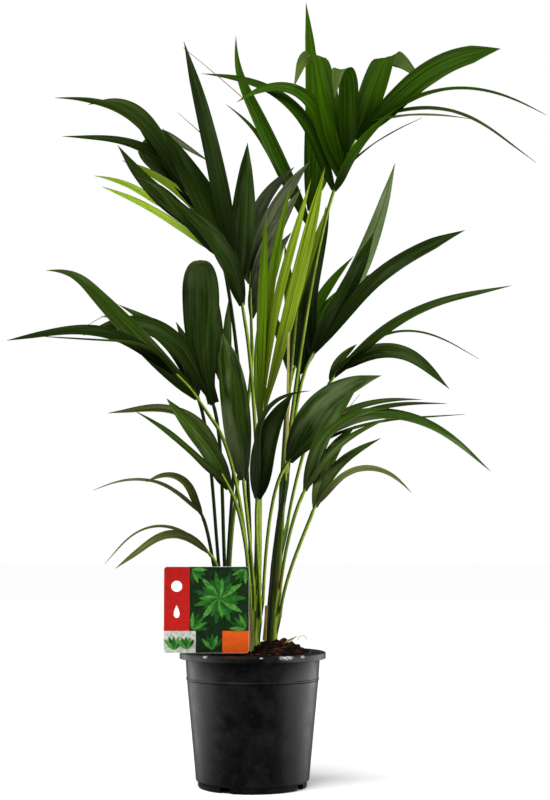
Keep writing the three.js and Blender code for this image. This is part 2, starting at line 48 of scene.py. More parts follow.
MM = 0.001

# ------------------------------------------------------------------ driving sizes
POT_TOP = 172  # height of the rim
POT_FLOOR = 1.8
POT_WALL = 1.6
RIM_RADIUS = 95
RIM_SKIRT = 8  # height of the turned-down edge of the rim
RIM_THICK = 1.6
NECK_RADIUS = 87.6  # wall just under the rim
RING_HEIGHT = 137  # moulded ring round the wall
RING_RADIUS = 85.5
RING_PROUD = 0.9
RING_BAND = 2.5
FOOT_RADIUS = 70.5
FOOT_HEIGHT = 9
FOOT_EDGE = 2
WALL_FOOT_RADIUS = 73.1
POT_FACETS = 160
NOTCH_WIDE = 15
NOTCH_HIGH = 7
NOTCH_DEEP = 14
NOTCH_TURN = -29  # first drain notch, degrees from the front
NOTCHES = 4
DRAIN_RADIUS = 4
DRAIN_CIRCLE = 46
# Each rubbed spot on the front of the rim: its place across and its size.
RIM_SCUFFS = ((41, 9), (47, 8), (64, 5), (-59, 5), (12, 3))

SOIL_EDGE = 165
SOIL_CROWN = 171
MOUND = {"x": 30, "y": 5, "z": 146, "wide": 52, "deep": 50, "high": 37}
SOIL_CELLS = 150  # cells across the soil's surface
SOIL_LUMPS = ((9, 2.6), (4, 1.6), (1.7, 0.9))  # size and height of its lumps
CRUMBS = 900
BARK_SHARE = 0.16  # share of the crumbs that are reddish bits of bark
ROOT_THREADS = 130
ON_MOUND = 0.55  # share of the crumbs and threads that is thrown on the mound
LITTER_REACH = 83  # how far from the middle they lie
DRY_SLIVER = ((42, -12, 184), (46, -12, 187), (50, -13, 188.5), (57, -14, 193))

CARD = {"left": -113, "right": -4, "bottom": 173.5, "top": 283, "front": -45, "thick": 1, "corner": 4}
CARD_LEG = {"x": -60, "wide": 14, "deep": 118, "point": 22}
PRINT_INSET = 0.3  # bare edge round the card's print
PRINT_THICK = 0.12
PRINT_STEP = 0.1  # how far a printed figure stands in front of its block
SPRIG_STEP = 0.6  # how far a sprig does, to lie over the rosette
LEAF_STEP = 0.02  # how far a printed leaf stands in front of the leaf before it
SIDE_BAND = 33  # width of the red block
FOOT_BAND = 28  # height of the blocks along the card's foot
GREY_BLOCK = 41  # widths of two of them
ORANGE_BLOCK = 34
ROSETTE = {"x": -42, "z": 243, "leaves": 22, "long": 35, "turn": 16.4}
# Each sprig of printed leaves: the place where it starts, its direction in degrees and its length.
SPRIGS = (
    (-77, 203.5, 45, 22),
    (-8, 203.5, 135, 22),
    (-77, 280, -45, 20),
    (-8, 280, 225, 20),
    (-51, 177.5, 90, 20),
    (-100, 177.5, 90, 18),
    (-84, 178.5, 92, 16),
)

STALK_EASE = 0.22  # share of a stalk that eases into its stem, and into its frond
STALK_SIDES = 14
STALK_STEPS = 40
STALK_GROOVE = 0.28  # depth of the groove along a stalk, as a share of its radius
GAP = 0.3  # clear space between a stalk's foot and its stem
SHEATH_LONG = 48  # how far a stalk's foot runs down along its stem
SHEATH_MOUTH = 15  # how far its sheath reaches up round the stalk
SHEATH_SUNK = 0.8  # how far its lower end lies under the stem's skin
STEM_STEPS = 60
RIB_RADIUS = 2.3
RIB_TIP = 0.6
RIB_SIDES = 10
RIB_STEPS = 16

LEAF_ALONG = 40  # cells along a leaflet
LEAF_ACROSS = 14  # cells across it
TIP_CELLS = 1.5  # power by which its cells get shorter towards the tip
LEAF_THICK = 0.45
LEAF_ROOT = 0.3  # width at the root, as a share of the full width
LEAF_FOLD = 0.1  # rise of the midrib, as a share of the width
ROOT_FOLD = 0.26  # the same at the root, where a leaflet is folded like a roof
LEAF_TWIST = 9  # greatest twist along a leaflet, degrees
LEAF_WAVE = 0.05  # waviness of its margins, as a share of the width
PLEATS = 4  # pleats across a leaflet
PLEAT_DEPTH = 0.009  # their depth, as a share of the width
WIDTH_RISE = 0.5  # powers of a leaflet's outline, towards its root and towards its tip
WIDTH_FALL = 0.85
POINT = 5 / 6  # share of the length from which a leaflet's margins run straight to its point
BLUNT = 0.4  # a leaflet whose outline falls by a power up to this ends round instead
FOLD_TURN = 110  # a leaflet that turns further than this is folded over, degrees
FOLD = 0.5  # share of the usual bend that a fold takes up
FOLD_REACH = 14  # reach to the back that tilts a fold by half a right angle, millimetres
VEINS = 15  # veins drawn across a leaflet, coarser than the real ones so that they show

CAMERA_PLACE = (0.029, -2.13, 0.325)  # metres
CAMERA_PITCH = 4.71  # degrees up
LENS = 73.0
FILL_LIGHT = 0.16  # strength of the white surroundings as a light

# Each stem: foot and top of its axis, with the radius there, and how far it bows to the right.
STEMS = {
    "stem_left": {"foot": (3, -3, 170), "top": (5, -6, 256), "radius": (8, 6.2), "bow": -1},
    "stem_right": {"foot": (23, 10, 172), "top": (41, 20, 392), "radius": (8, 6.5), "bow": -1},
    "stem_rear": {"foot": (-21, 12, 169), "top": (-31, 8, 214), "radius": (8, 7), "bow": 0},
}

DRY_STALKS = {
    "dry_stalk": {"foot": (44.5, 4, 405), "tip": (47, -4, 590), "radius": (2.2, 1.8)},
    "cut_stub": {"foot": (15.5, -9, 187), "tip": (18, -11, 232), "radius": (2.4, 2)},
}

# Each frond, as the source has it, with more for its looks:
#   stalk   (stem, height on it or "top", degrees round it, foot radius, tip radius if it isn't RIB_RADIUS)
#   tip     where the stalk ends and the rib goes on
#   rib     (rise, ends, bends, long, back)
#   leaves  (at, rise, ends, bends, long, wide, face, back, taper if it isn't WIDTH_FALL) for each leaflet
#    tones   tones of the leaflets' upper side, of their underside and of the stalk; a stalk tone of "shade" is painted shade
#   odd     the first two tones of single leaflets that differ, by their number
#   swell   power of the leaflets' outline towards the root, where it isn't WIDTH_RISE
#   slim    share of the source's width that the leaflets have, where it isn't all of it
#   threads places along each dry filament that has come off a leaflet
FRONDS = {
    "top_right": {
        "tones": ("mid", "soft", "fresh"),
        "stalk": ("stem_right", "top", 270, 2.6), "tip": (105, 40, 776), "rib": (72, 60, 0.5, 140, 10),
        "leaves": [
            (0.35, 101, 252, 0.76, 226, 34, 20, 10),
            (0.5, 90, 264, 0.66, 178, 28, 15, -30),
            (0.65, 71, -42, 0.7, 192, 36, 15, 10),
            (0.7, 42, 5, 0.65, 224, 39, 22, -50, 0.45),
            (0.75, 34, -36, 0.5, 262, 30, 62, -100),
            (0.85, 14, -48, 0.4, 248, 22, 75, -150),
            (0.85, 0, -25, 0.5, 135, 14, 75, -130),
            (0.3, 35, 12, 0.5, 110, 14, 70, -120),
            (0.1, 66, 35, 0.5, 128, 24, 50, -60),
            (0.25, 105, 210, 0.65, 235, 28, 30, 60),
            (0.1, 105, 170, 0.55, 290, 28, 45, 100),
        ],
    },
    "top_rear": {
        "tones": ("mid", "soft", "fresh"),
        "stalk": ("stem_right", "top", 180, 2.4), "tip": (71, 110, 727), "rib": (80, 85, 0.5, 85, 20),
        "leaves": [
            (0.6, 87, 96, 0.55, 305, 28, 25, 10),
            (0.35, 114, 90, 0.83, 305, 24, 40, 40),
            (0.35, 116, 140, 0.75, 225, 20, 50, 60),
            (0.8, 65, 105, 0.35, 185, 24, 35, 120),
        ],
    },
    "upper_left": {
        "tones": ("dark", "lit", "shade"), "odd": {0: ("dark", "grey"), 8: ("dark", "grey")},
        "stalk": ("stem_left", 250, 160, 2.5), "tip": (-39, -30, 679), "rib": (103, 132, 0.5, 95, -20),
        "threads": [[(-68, -45, 847), (-98, -45, 874)]],
        "leaves": [
            (0.95, 119, 184, 0.59, 228, 30, 50, -60),
            (0.75, 122, 194, 0.78, 222, 30, 25, -10),
            (0.7, 117, 180, 0.45, 225, 21, 45, -20),
            (0.3, 145, 125, 0.65, 170, 24, 30, -60),
            (0.4, 148, 169, 0.8, 185, 22, 112, 40),
            (0.15, 145, 157, 0.7, 190, 27, 110, 60),
            (0.55, 130, 160, 0.5, 140, 20, 118, -20),
            (0.1, 135, 165, 0.8, 135, 30, 50, -90),
            (0.9, 136, -32, 0.55, 222, 18, 30, 10),
        ],
    },
    "upper_centre": {
        "tones": ("deep", "soft", "fresh"),
        "stalk": ("stem_left", 246, 285, 2.4), "tip": (-8, -75, 587), "rib": (99, 101, 0.5, 95, -10),
        "threads": [[(-12, -95, 880), (-52, -95, 916), (-89, -95, 946)]],
        "leaves": [
            (0.9, 100, 106, 0.5, 288, 32, 35, -20),
            (0.6, 107, 122, 0.4, 225, 42, 25, 0),
            (0.6, 86, 88, 0.5, 195, 34, 30, 50),
            (0.3, 100, 140, 0.4, 165, 30, 35, -40),
        ],
    },
    "rear_centre": {
        "tones": ("mid", "grey", "fresh"),
        "stalk": ("stem_rear", "top", 0, 2.2), "tip": (-2, 45, 579), "rib": (92, 92, 0.5, 110, 20),
        "leaves": [
            (0.95, 88, 42, 0.55, 168, 24, 145, 20),
            (0.85, 76, 52, 0.5, 190, 28, 145, 30),
            (0.6, 75, 58, 0.5, 175, 26, 140, 45),
            (0.35, 90, 60, 0.3, 160, 26, 138, 160),
            (0.8, 100, 140, 0.5, 170, 26, 130, 190),
        ],
    },
    "middle_left": {
        "tones": ("dark", "soft", "fresh"), "odd": {0: ("deep", "soft")},
        "stalk": ("stem_left", 236, 198, 2.3), "tip": (-47, -75, 464), "rib": (125, 140, 0.7, 85, -30),
        "threads": [[(-181, -120, 597), (-193, -120, 592), (-207, -120, 583)]],
        "leaves": [
            (0.95, 138, 193, 0.42, 221, 26, 45, -40),
            (0.45, 134, 180, 0.87, 262, 27, 30, 10),
            (0.9, 125, 180, 0.25, 175, 16, 70, -90),
            (0.85, 125, 180, 0.4, 185, 16, 70, 60),
        ],
    },
    "middle_left_rear": {
        "tones": ("dark", "soft", "shade"),
        "stalk": ("stem_rear", "top", 180, 2.2), "tip": (-71, -20, 500), "rib": (110, 120, 0.5, 25, -5),
        "leaves": [
            (0.5, 98, 165, 0.45, 145, 24, 50, -30),
            (0.8, 114, 170, 0.5, 170, 22, 60, 60),
            (0.2, 95, 120, 0.5, 120, 24, 50, 120),
        ],
    },
    "broad_left": {
        "tones": ("deep", "soft", "shade"), "swell": 0.9,
        "stalk": ("stem_rear", "top", 290, 2.4), "tip": (-49, -55, 486), "rib": (105, 105, 0.5, 15, -1),
        "leaves": [
            (0.4, 105, 90, 0.35, 185, 52, 15, -15, 0.35),
            (0.3, 118, 205, 0.6, 222, 30, 40, -10),
        ],
    },
    "broad_centre": {
        "tones": ("dark", "soft", "fresh"), "odd": {0: ("waxy", "soft")},
        "stalk": ("stem_left", 226, 262, 2.0), "tip": (-11, -43, 388), "rib": (95, 95, 0.5, 15, -2),
        "leaves": [
            (0.4, 96, 103, 0.7, 190, 38, 25, -24, 0.55),
            (0.2, 92, 91, 0.5, 105, 14, 40, 12),
        ],
    },
    "low_left": {
        "tones": ("olive", "grey", "fresh"), "odd": {1: ("dark", "soft"), 2: ("dark", "soft")},
        "stalk": ("stem_left", 220, 232, 2.0), "tip": (-24, -95, 373), "rib": (115, 120, 0.5, 30, -10),
        "leaves": [
            (0.95, 101, 187, 0.42, 200, 30, 55, 60),
            (0.6, 138, 152, 0.7, 140, 22, 65, -50),
            (0.3, 112, 132, 0.35, 138, 32, 35, -20),
        ],
    },
    "small_left": {
        "tones": ("olive", "soft", "shade"),
        "stalk": ("stem_rear", 204, 200, 2.0), "tip": (-63, -30, 343), "rib": (110, 120, 0.5, 15, -2),
        "leaves": [
            (0.7, 135, 205, 0.52, 146, 17, 70, -80),
            (0.5, 112, 210, 0.6, 105, 18, 50, 20),
        ],
    },
    "lowest_left": {
        "tones": ("olive", "soft", "fresh"),
        "stalk": ("stem_rear", 190, 240, 1.8), "tip": (-53, -38, 297), "rib": (130, 130, 0.5, 12, -2),
        "leaves": [
            (0.7, 136, 229, 0.45, 165, 14, 75, 50),
            (0.5, 133, 219, 0.35, 135, 18, 50, -60),
        ],
    },
    "centre_new": {
        "tones": ("new", "new", "fresh"), "swell": 1.0, "slim": 0.76,
        "odd": {0: ("young", "young"), 1: ("young", "young"), 5: ("young", "young")},
        "stalk": ("stem_left", "top", 60, 5.2, 4), "tip": (9, 2, 448), "rib": (87, 80, 0.5, 70, 5),
        "leaves": [
            (0.2, 90, 87, 0.5, 285, 20, 35, -20),
            (0.2, 89, 77, 0.5, 328, 20, 30, -10),
            (0.25, 86, 74, 0.38, 342, 19, 30, 10),
            (0.35, 75, 77, 0.5, 352, 28, 25, 0),
            (0.4, 75, 71, 0.5, 302, 24, 35, 30),
            (0.1, 96, 72, 0.45, 270, 20, 40, 50),
        ],
    },
    "right": {
        "tones": ("deep", "grey", "fresh"), "odd": {0: ("pale", "pale")},
        "stalk": ("stem_right", "top", 0, 2.4), "tip": (78, 64, 565), "rib": (60, 60, 0.5, 15, 2),
        "leaves": [
            (0.6, 59, 75, 0.5, 297, 30, 30, 50),
            (0.5, 60, 66, 0.5, 180, 28, 20, -30),
            (0.7, 53, 19, 0.55, 258, 29, 35, -60, 0.55),
            (0.3, 100, 76, 0.3, 225, 30, 37, 70),
        ],
    },
    "right_rear": {
        "tones": ("deep", "grey", "shade"),
        "stalk": ("stem_right", "top", 90, 2.4), "tip": (62, 115, 540), "rib": (85, 85, 0.5, 15, 4),
        "leaves": [
            (0.6, 92, 72, 0.6, 200, 26, 40, 40),
            (0.7, 82, 80, 0.4, 260, 24, 45, 110),
            (0.4, 66, 62, 0.5, 150, 22, 50, 110),
        ],
    },
    "middle_right": {
        "tones": ("dark", "soft", "fresh"),
        "stalk": ("stem_right", 330, 345, 2.1), "tip": (101, 15, 523), "rib": (60, 55, 0.5, 25, -4),
        "leaves": [
            (0.5, 47, 9, 0.45, 262, 26, 50, -60),
            (0.6, 50, -36, 0.45, 206, 15, 75, -120),
            (0.9, 38, -44, 0.45, 180, 28, 40, 70),
            (0.2, 76, 40, 0.45, 68, 18, 45, 50),
        ],
    },
    "low_right": {
        "tones": ("dark", "soft", "fresh"), "odd": {0: ("waxy", "soft"), 1: ("waxy", "soft")},
        "stalk": ("stem_left", 236, 350, 2.1), "tip": (40, -50, 407), "rib": (58, 52, 0.5, 20, -5),
        "threads": [[(108, -60, 467), (122, -60, 484), (138, -60, 503)]],
        "leaves": [
            (0.6, 67, 13, 0.55, 172, 38, 30, -10),
            (0.8, 42, -46, 0.47, 282, 26, 50, -120),
            (0.9, 41, -4, 0.5, 210, 23, 65, -70),
            (0.9, 30, 0, 0.4, 210, 14, 70, -180),
            (0.5, 52, 0, 0.5, 210, 18, 60, 70),
        ],
    },
    "lower_right": {
        "tones": ("dark", "soft", "fresh"),
        "stalk": ("stem_right", 248, 315, 2.1), "tip": (63, -95, 372), "rib": (65, 65, 0.5, 15, -2),
        "leaves": [
            (0.6, 77, 3, 0.55, 160, 24, 48, -40),
            (0.5, 76, 50, 0.5, 145, 22, 40, -25),
            (0.7, 60, 20, 0.5, 130, 18, 60, -100),
        ],
    },
    "lowest_right": {
        "tones": ("olive", "soft", "fresh"), "odd": {1: ("dark", "soft")},
        "stalk": ("stem_right", 216, 335, 2.1), "tip": (75, -128, 350), "rib": (68, 66, 0.5, 15, -2),
        "leaves": [
            (0.5, 77, 42, 0.6, 122, 25, 45, 60),
            (0.7, 70, 26, 0.45, 120, 18, 55, -10),
            (0.8, 52, -50, 0.55, 140, 18, 60, -70),
        ],
    },
    "low_centre": {
        "tones": ("deep", "soft", "fresh"),
        "stalk": ("stem_left", 208, 318, 1.9), "tip": (6, -66, 362), "rib": (85, 85, 0.5, 12, -2),
        "leaves": [
            (0.6, 84, 52, 0.6, 145, 32, 25, -15),
            (0.5, 90, 4, 0.68, 178, 14, 60, -30),
        ],
    },
    "rear_left": {
        "tones": ("dark", "soft", "shade"),
        "stalk": ("stem_rear", "top", 70, 2.2), "tip": (-32, 90, 500), "rib": (108, 124, 0.5, 80, 40),
        "leaves": [
            (0.9, 140, 152, 0.5, 165, 26, 55, 80),
            (0.7, 136, 162, 0.5, 180, 26, 50, 150),
            (0.5, 94, 98, 0.5, 160, 26, 45, 120),
            (0.3, 92, 88, 0.5, 150, 24, 50, 160),
        ],
    },
    "rear_right": {
        "tones": ("mid", "soft", "fresh"),
        "stalk": ("stem_right", 300, 90, 2.2), "tip": (48, 150, 520), "rib": (80, 66, 0.5, 90, 60),
        "leaves": [
            (0.95, 64, 30, 0.5, 170, 26, 50, 110),
            (0.75, 76, 50, 0.5, 190, 26, 50, 150),
            (0.5, 92, 96, 0.5, 200, 26, 45, 130),
            (0.3, 100, 120, 0.5, 170, 24, 50, 150),
        ],
    },
}

# Leaf tones: the colours of a blade's ground and of its streaks, which are partly painted gloss highlight,
# its roughness and its share of grey painted sheen. "waxy" is a dark tone with more painted sheen.
LEAF_TONES = {
    "mid": ("#152a00", "#304f02", 0.36, 0.02),
    "dark": ("#0f1902", "#2f4410", 0.34, 0.1),
    "waxy": ("#111b04", "#2e4412", 0.38, 0.28),
    "deep": ("#0a1401", "#20310c", 0.36, 0.07),
    "olive": ("#262e0c", "#58632e", 0.42, 0.4),
    "new": ("#2f4602", "#7c9020", 0.4, 0.0),
    "young": ("#263e00", "#5f7a12", 0.4, 0.0),
    "soft": ("#2d4010", "#52642a", 0.55, 0.3),
    "lit": ("#587808", "#8eaa1c", 0.5, 0.1),
    "pale": ("#2a3c16", "#596b42", 0.5, 0.5),
    "grey": ("#13180e", "#5c6346", 0.6, 0.25),
}

# Stalk tones: the colours of the ridge along a stalk, partly a painted highlight, of its body and of its
# flank of painted shade. "shade" is a darker copy of "fresh": painted shade for stalks that stand in shade.
STALK_TONES = {
    "fresh": ("#a3b43a", "#54701a", "#141f08"),
    "shade": ("#33481a", "#182608", "#0a1004"),
}


# ------------------------------------------------------------------ small helpers
def linear(code):
    """The linear colour of an sRGB hex code."""
    shares = [int(code[place:place + 2], 16) / 255 for place in (1, 3, 5)]
    light = [
        share / 12.92 if share <= 0.04045 else ((share + 0.055) / 1.055) ** 2.4
        for share in shares]
    return (*light, 1.0)


def mix(a, b, share):
    return a + (b - a) * share


def smooth(share):
    share = min(max(share, 0.0), 1.0)
    return share * share * (3 - 2 * share)


def metres(*place):
    return Vector(place) * MM


def deselect():
    bpy.ops.object.select_all(action="DESELECT")


def active():
    return bpy.context.object


def select_only(piece):
    deselect()
    piece.select_set(True)
    bpy.context.view_layer.objects.active = piece


def join(pieces, name):
    deselect()
    for piece in pieces:
        piece.select_set(True)
    bpy.context.view_layer.objects.active = pieces[0]
    bpy.ops.object.join()
    joined = active()
    joined.name = name
    joined.data.name = name
    return joined


def modify(piece, kind, **settings):
    """Adds a modifier with its settings and applies it."""
    select_only(piece)
    bpy.ops.object.modifier_add(type=kind)
    modifier = piece.modifiers[-1]
    for name, value in settings.items():
        setattr(modifier, name, value)
    bpy.ops.object.modifier_apply(modifier=modifier.name)


def settle(piece, slot, *nodes):
    """Puts a finished piece's origin at the pot's foot and ties it to the frame."""
    select_only(piece)
    bpy.ops.object.transform_apply(location=True, rotation=True, scale=True)
    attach(piece, "root")
    if nodes:
        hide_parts(*nodes)
    return piece


# ------------------------------------------------------------------ materials
def add(material, kind, sockets=None, **settings):
    """Adds a node with its own settings, and sets its sockets or links them."""
    node = material.node_tree.nodes.new(kind)
    for name, value in settings.items():
        setattr(node, name, value)
    for socket, value in (sockets or {}).items():
        if isinstance(value, bpy.types.NodeSocket):
            material.node_tree.links.new(value, node.inputs[socket])
        else:
            node.inputs[socket].default_value = value
    return node


def start(name):
    """A new material with no nodes yet."""
    material = bpy.data.materials.new(name)
    material.use_nodes = True
    material.node_tree.nodes.clear()
    return material


def close(material, colour, roughness, ior, shine, relief=None):
    """Ends a material. Its relief, where it has one, is (height, strength, depth in millimetres)."""
    sockets = {"Base Color": colour, "Roughness": roughness, "IOR": ior, "Specular IOR Level": shine}
    if relief:
        height, strength, depth = relief
        bump = add(material, "ShaderNodeBump", {
            "Strength": strength, "Distance": depth * MM, "Height": height})
        sockets["Normal"] = bump.outputs["Normal"]
    shader = add(material, "ShaderNodeBsdfPrincipled", sockets)
    add(material, "ShaderNodeOutputMaterial", {"Surface": shader.outputs["BSDF"]})
    return material


def tint(material, under, measure, reach, shares, code):
    """Lays a colour over another. Over a measure's reach it goes from the first share to the second."""
    share = add(material, "ShaderNodeMapRange", {
        "Value": measure, "From Min": reach[0], "From Max": reach[1],
        "To Min": shares[0], "To Max": shares[1]})
    return add(material, "ShaderNodeMix", {
        "Factor": share.outputs[0], "A": under, "B": linear(code)}, data_type="RGBA").outputs["Result"]


def surface_place(material):
    """How far a place lies across a surface (X) and along it (Y), from the piece's own UV map."""
    return add(material, "ShaderNodeSeparateXYZ", {
        "Vector": add(material, "ShaderNodeUVMap", uv_map="UVMap").outputs["UV"]})


def blade_place(material, measures, scales):
    """A place for a pattern that runs with the blade, from three measures and a scale for each."""
    axes = {}
    for axis, measure, scale in zip("XYZ", measures, scales):
        scaled = add(material, "ShaderNodeMath", {0: measure, 1: scale}, operation="MULTIPLY")
        axes[axis] = scaled.outputs[0]
    return add(material, "ShaderNodeCombineXYZ", axes).outputs[0]


def leaf_blade(name, ground, streak, roughness, sheen_share):
    """A palm leaflet: a waxy blade with fine parallel veins, long lighter streaks that are partly its own
    and partly painted gloss highlight, grey patches of painted sheen, a painted highlight along the midrib
    and a dry tip.

    "shade" is a number for each leaflet, by which it is lighter or darker, and by which one of its two
    halves gets painted shade, as if turned from the light. Every leaflet also gets painted shade towards its
    root.
    """
    material = start(name)
    place = surface_place(material)
    across = place.outputs["X"]
    along = place.outputs["Y"]
    shade = add(material, "ShaderNodeAttribute", attribute_name="shade").outputs["Fac"]
    streaks = add(material, "ShaderNodeTexNoise", {
        "Vector": blade_place(material, (across, along, shade), (9.0, 1.6, 37.0)),
        "Scale": 1.4, "Detail": 4.0, "Roughness": 0.6}).outputs["Fac"]
    clouds = add(material, "ShaderNodeTexNoise", {
        "Vector": blade_place(material, (across, along, shade), (2.6, 3.2, 83.0)),
        "Scale": 1.0, "Detail": 2.0, "Roughness": 0.5}).outputs["Fac"]
    vein_turn = add(material, "ShaderNodeMath", {0: across, 1: math.tau * VEINS}, operation="MULTIPLY")
    veins = add(material, "ShaderNodeMath", {0: vein_turn.outputs[0]}, operation="SINE").outputs[0]
    vein_light = add(material, "ShaderNodeMapRange", {"Value": veins, "From Min": -1.0, "To Max": 0.14})
    # The lighter streaks are partly the blade's own veining and partly painted gloss highlight.
    streak_light = add(material, "ShaderNodeMapRange", {
        "Value": streaks, "From Min": 0.36, "From Max": 0.66, "To Max": 0.75})
    lift = add(material, "ShaderNodeMath", {
        0: streak_light.outputs[0], 1: vein_light.outputs[0]}, operation="ADD")
    body = add(material, "ShaderNodeMix", {
        "Factor": lift.outputs[0], "A": linear(ground), "B": linear(streak)}, data_type="RGBA")
    # Grey-green painted sheen in soft patches, standing in for the blade's gloss.
    sheened = tint(material, body.outputs["Result"], clouds, (0.48, 0.7), (0.0, sheen_share), "#74805a")
    # A lighter line along the midrib: a painted highlight on the crest of its fold.
    off_middle = add(material, "ShaderNodeMath", {0: across, 1: 0.5}, operation="SUBTRACT")
    from_middle = add(material, "ShaderNodeMath", {0: off_middle.outputs[0]}, operation="ABSOLUTE")
    midrib_highlit = tint(material, sheened, from_middle.outputs[0], (0.015, 0.05), (0.3, 0.0), streak)
    dried = tint(material, midrib_highlit, along, (0.9, 0.98), (0.0, 0.8), "#4f3f1c")
    brightness = add(material, "ShaderNodeMapRange", {"Value": shade, "To Min": 0.72, "To Max": 1.35})
    # Painted shade: the blade darkens towards its root, where it lies in the frond's shade.
    painted_root_shade = add(material, "ShaderNodeMapRange", {
        "Value": along, "From Max": 0.38, "To Min": 0.36, "To Max": 1.15}, interpolation_type="SMOOTHSTEP")
    # Painted shade on one half of the blade, as if one side of its fold is turned from the light; chance
    # picks which half.
    spun = add(material, "ShaderNodeMath", {0: shade, 1: 7.3}, operation="MULTIPLY")
    chance = add(material, "ShaderNodeMath", {0: spun.outputs[0]}, operation="FRACT").outputs[0]
    left_half = add(material, "ShaderNodeMapRange", {"Value": chance, "To Min": 0.78, "To Max": 1.16})
    right_half = add(material, "ShaderNodeMapRange", {"Value": chance, "To Min": 1.16, "To Max": 0.78})
    half = add(material, "ShaderNodeMapRange", {
        "Value": across, "From Min": 0.47, "From Max": 0.53,
        "To Min": left_half.outputs[0], "To Max": right_half.outputs[0]})
    fold_shaded = add(material, "ShaderNodeMath", {
        0: brightness.outputs[0], 1: half.outputs[0]}, operation="MULTIPLY")
    value = add(material, "ShaderNodeMath", {
        0: fold_shaded.outputs[0], 1: painted_root_shade.outputs[0]}, operation="MULTIPLY")
    shaded = add(material, "ShaderNodeHueSaturation", {"Value": value.outputs[0], "Color": dried})
    wax = add(material, "ShaderNodeMapRange", {
        "Value": streaks, "From Min": 0.3, "From Max": 0.7,
        "To Min": roughness - 0.06, "To Max": roughness + 0.1})
    return close(material, shaded.outputs["Color"], wax.outputs[0], 1.45, 0.02, (veins, 0.12, 0.25))


def round_band(material, middle, wide):
    """How near a place is to a line along a limb, from 0 to 1. Middle and width are shares of a turn."""
    turn = add(material, "ShaderNodeMath", {
        0: surface_place(material).outputs["X"], 1: middle}, operation="SUBTRACT")
    angle = add(material, "ShaderNodeMath", {0: turn.outputs[0], 1: math.tau}, operation="MULTIPLY")
    near = add(material, "ShaderNodeMath", {0: angle.outputs[0]}, operation="COSINE")
    return add(material, "ShaderNodeMapRange", {
        "Value": near.outputs[0], "From Min": math.cos(math.tau * wide)},
        interpolation_type="SMOOTHSTEP").outputs[0]


def height_band(material, low, high):
    """How much a place lies between two shares of a limb's length, from 0 to 1."""
    height = surface_place(material).outputs["Y"]
    soft = 0.06
    above = add(material, "ShaderNodeMapRange", {
        "Value": height, "From Min": low - soft, "From Max": low + soft})
    below = add(material, "ShaderNodeMapRange", {
        "Value": height, "From Min": high - soft, "From Max": high + soft, "To Min": 1.0, "To Max": 0.0})
    return add(material, "ShaderNodeMath", {
        0: above.outputs[0], 1: below.outputs[0]}, operation="MULTIPLY").outputs[0]


def stalk_wax(name, lit_ridge, body, shaded_flank):
    """A living leaf stalk: smooth and waxy, with a streaked yellow-green ridge down one side, partly its own
    colour and partly a painted highlight, and painted shade down the other flank.
    """
    material = start(name)
    place = add(material, "ShaderNodeTexCoord").outputs["Object"]
    drawn_out = add(material, "ShaderNodeMapping", {"Vector": place, "Scale": (1.0, 1.0, 0.04)})
    fibres = add(material, "ShaderNodeTexNoise", {
        "Vector": drawn_out.outputs[0], "Scale": 1 / (2.2 * MM), "Detail": 3.0, "Roughness": 0.55})
    patches = add(material, "ShaderNodeTexNoise", {
        "Vector": place, "Scale": 1 / (70 * MM), "Detail": 2.0, "Roughness": 0.5})
    streaked = add(material, "ShaderNodeMapRange", {
        "Value": fibres.outputs["Fac"], "From Min": 0.35, "From Max": 0.65, "To Min": 0.35})
    patched = add(material, "ShaderNodeMapRange", {
        "Value": patches.outputs["Fac"], "From Min": 0.38, "From Max": 0.6, "To Min": 0.35})
    wear_and_highlight_breakup = add(material, "ShaderNodeMath", {
        0: streaked.outputs[0], 1: patched.outputs[0]}, operation="MULTIPLY")
    # Painted highlight: the yellow-green ridge down the lit side, broken up by fibres and patches.
    lit = add(material, "ShaderNodeMath", {
        0: round_band(material, 0.45, 0.22), 1: wear_and_highlight_breakup.outputs[0]}, operation="MULTIPLY")
    # Painted shade: the dark flank down the other side.
    dark = add(material, "ShaderNodeMix", {
        "Factor": round_band(material, 0.06, 0.22), "A": linear(body), "B": linear(shaded_flank)}, data_type="RGBA")
    colour = add(material, "ShaderNodeMix", {
        "Factor": lit.outputs[0], "A": dark.outputs["Result"], "B": linear(lit_ridge)}, data_type="RGBA")
    return close(material, colour.outputs["Result"], 0.4, 1.45, 0.05, (fibres.outputs["Fac"], 0.3, 0.2))


def sheath_skin(name, dark, middle, light, roughness, thread, bands_at=()):
    """The skin of a palm's stem: sheaths drawn out in long fibres, some of them dried brown.

    Each band that is given is a band of colour down part of the skin, some the edge of a sheath that shows,
    some painted shade or a painted highlight down one side: (colour, middle and width as shares of a turn,
    low and high as shares of the height).
    """
    material = start(name)
    place = add(material, "ShaderNodeTexCoord").outputs["Object"]
    drawn_out = add(material, "ShaderNodeMapping", {"Vector": place, "Scale": (1.0, 1.0, 0.03)})
    fibres = add(material, "ShaderNodeTexNoise", {
        "Vector": drawn_out.outputs[0], "Scale": 1 / (thread * MM), "Detail": 6.0,
        "Roughness": 0.65}).outputs["Fac"]
    patches = add(material, "ShaderNodeTexNoise", {
        "Vector": place, "Scale": 1 / (26 * MM), "Detail": 3.0, "Roughness": 0.6}).outputs["Fac"]
    base = tint(material, linear(dark), fibres, (0.36, 0.62), (0.0, 1.0), middle)
    colour = tint(material, base, patches, (0.45, 0.62), (0.0, 0.9), light)
    for code, around, wide, low, high in bands_at:
        frayed = add(material, "ShaderNodeMapRange", {
            "Value": fibres, "From Min": 0.34, "From Max": 0.56, "To Min": 0.35})
        here = add(material, "ShaderNodeMath", {
            0: round_band(material, around, wide), 1: height_band(material, low, high)},
            operation="MULTIPLY")
        share = add(material, "ShaderNodeMath", {
            0: here.outputs[0], 1: frayed.outputs[0]}, operation="MULTIPLY")
        banded = add(material, "ShaderNodeMix", {
            "Factor": share.outputs[0], "A": colour, "B": linear(code)}, data_type="RGBA")
        colour = banded.outputs["Result"]
    return close(material, colour, roughness, 1.45, 0.04, (fibres, 0.7, 0.5))


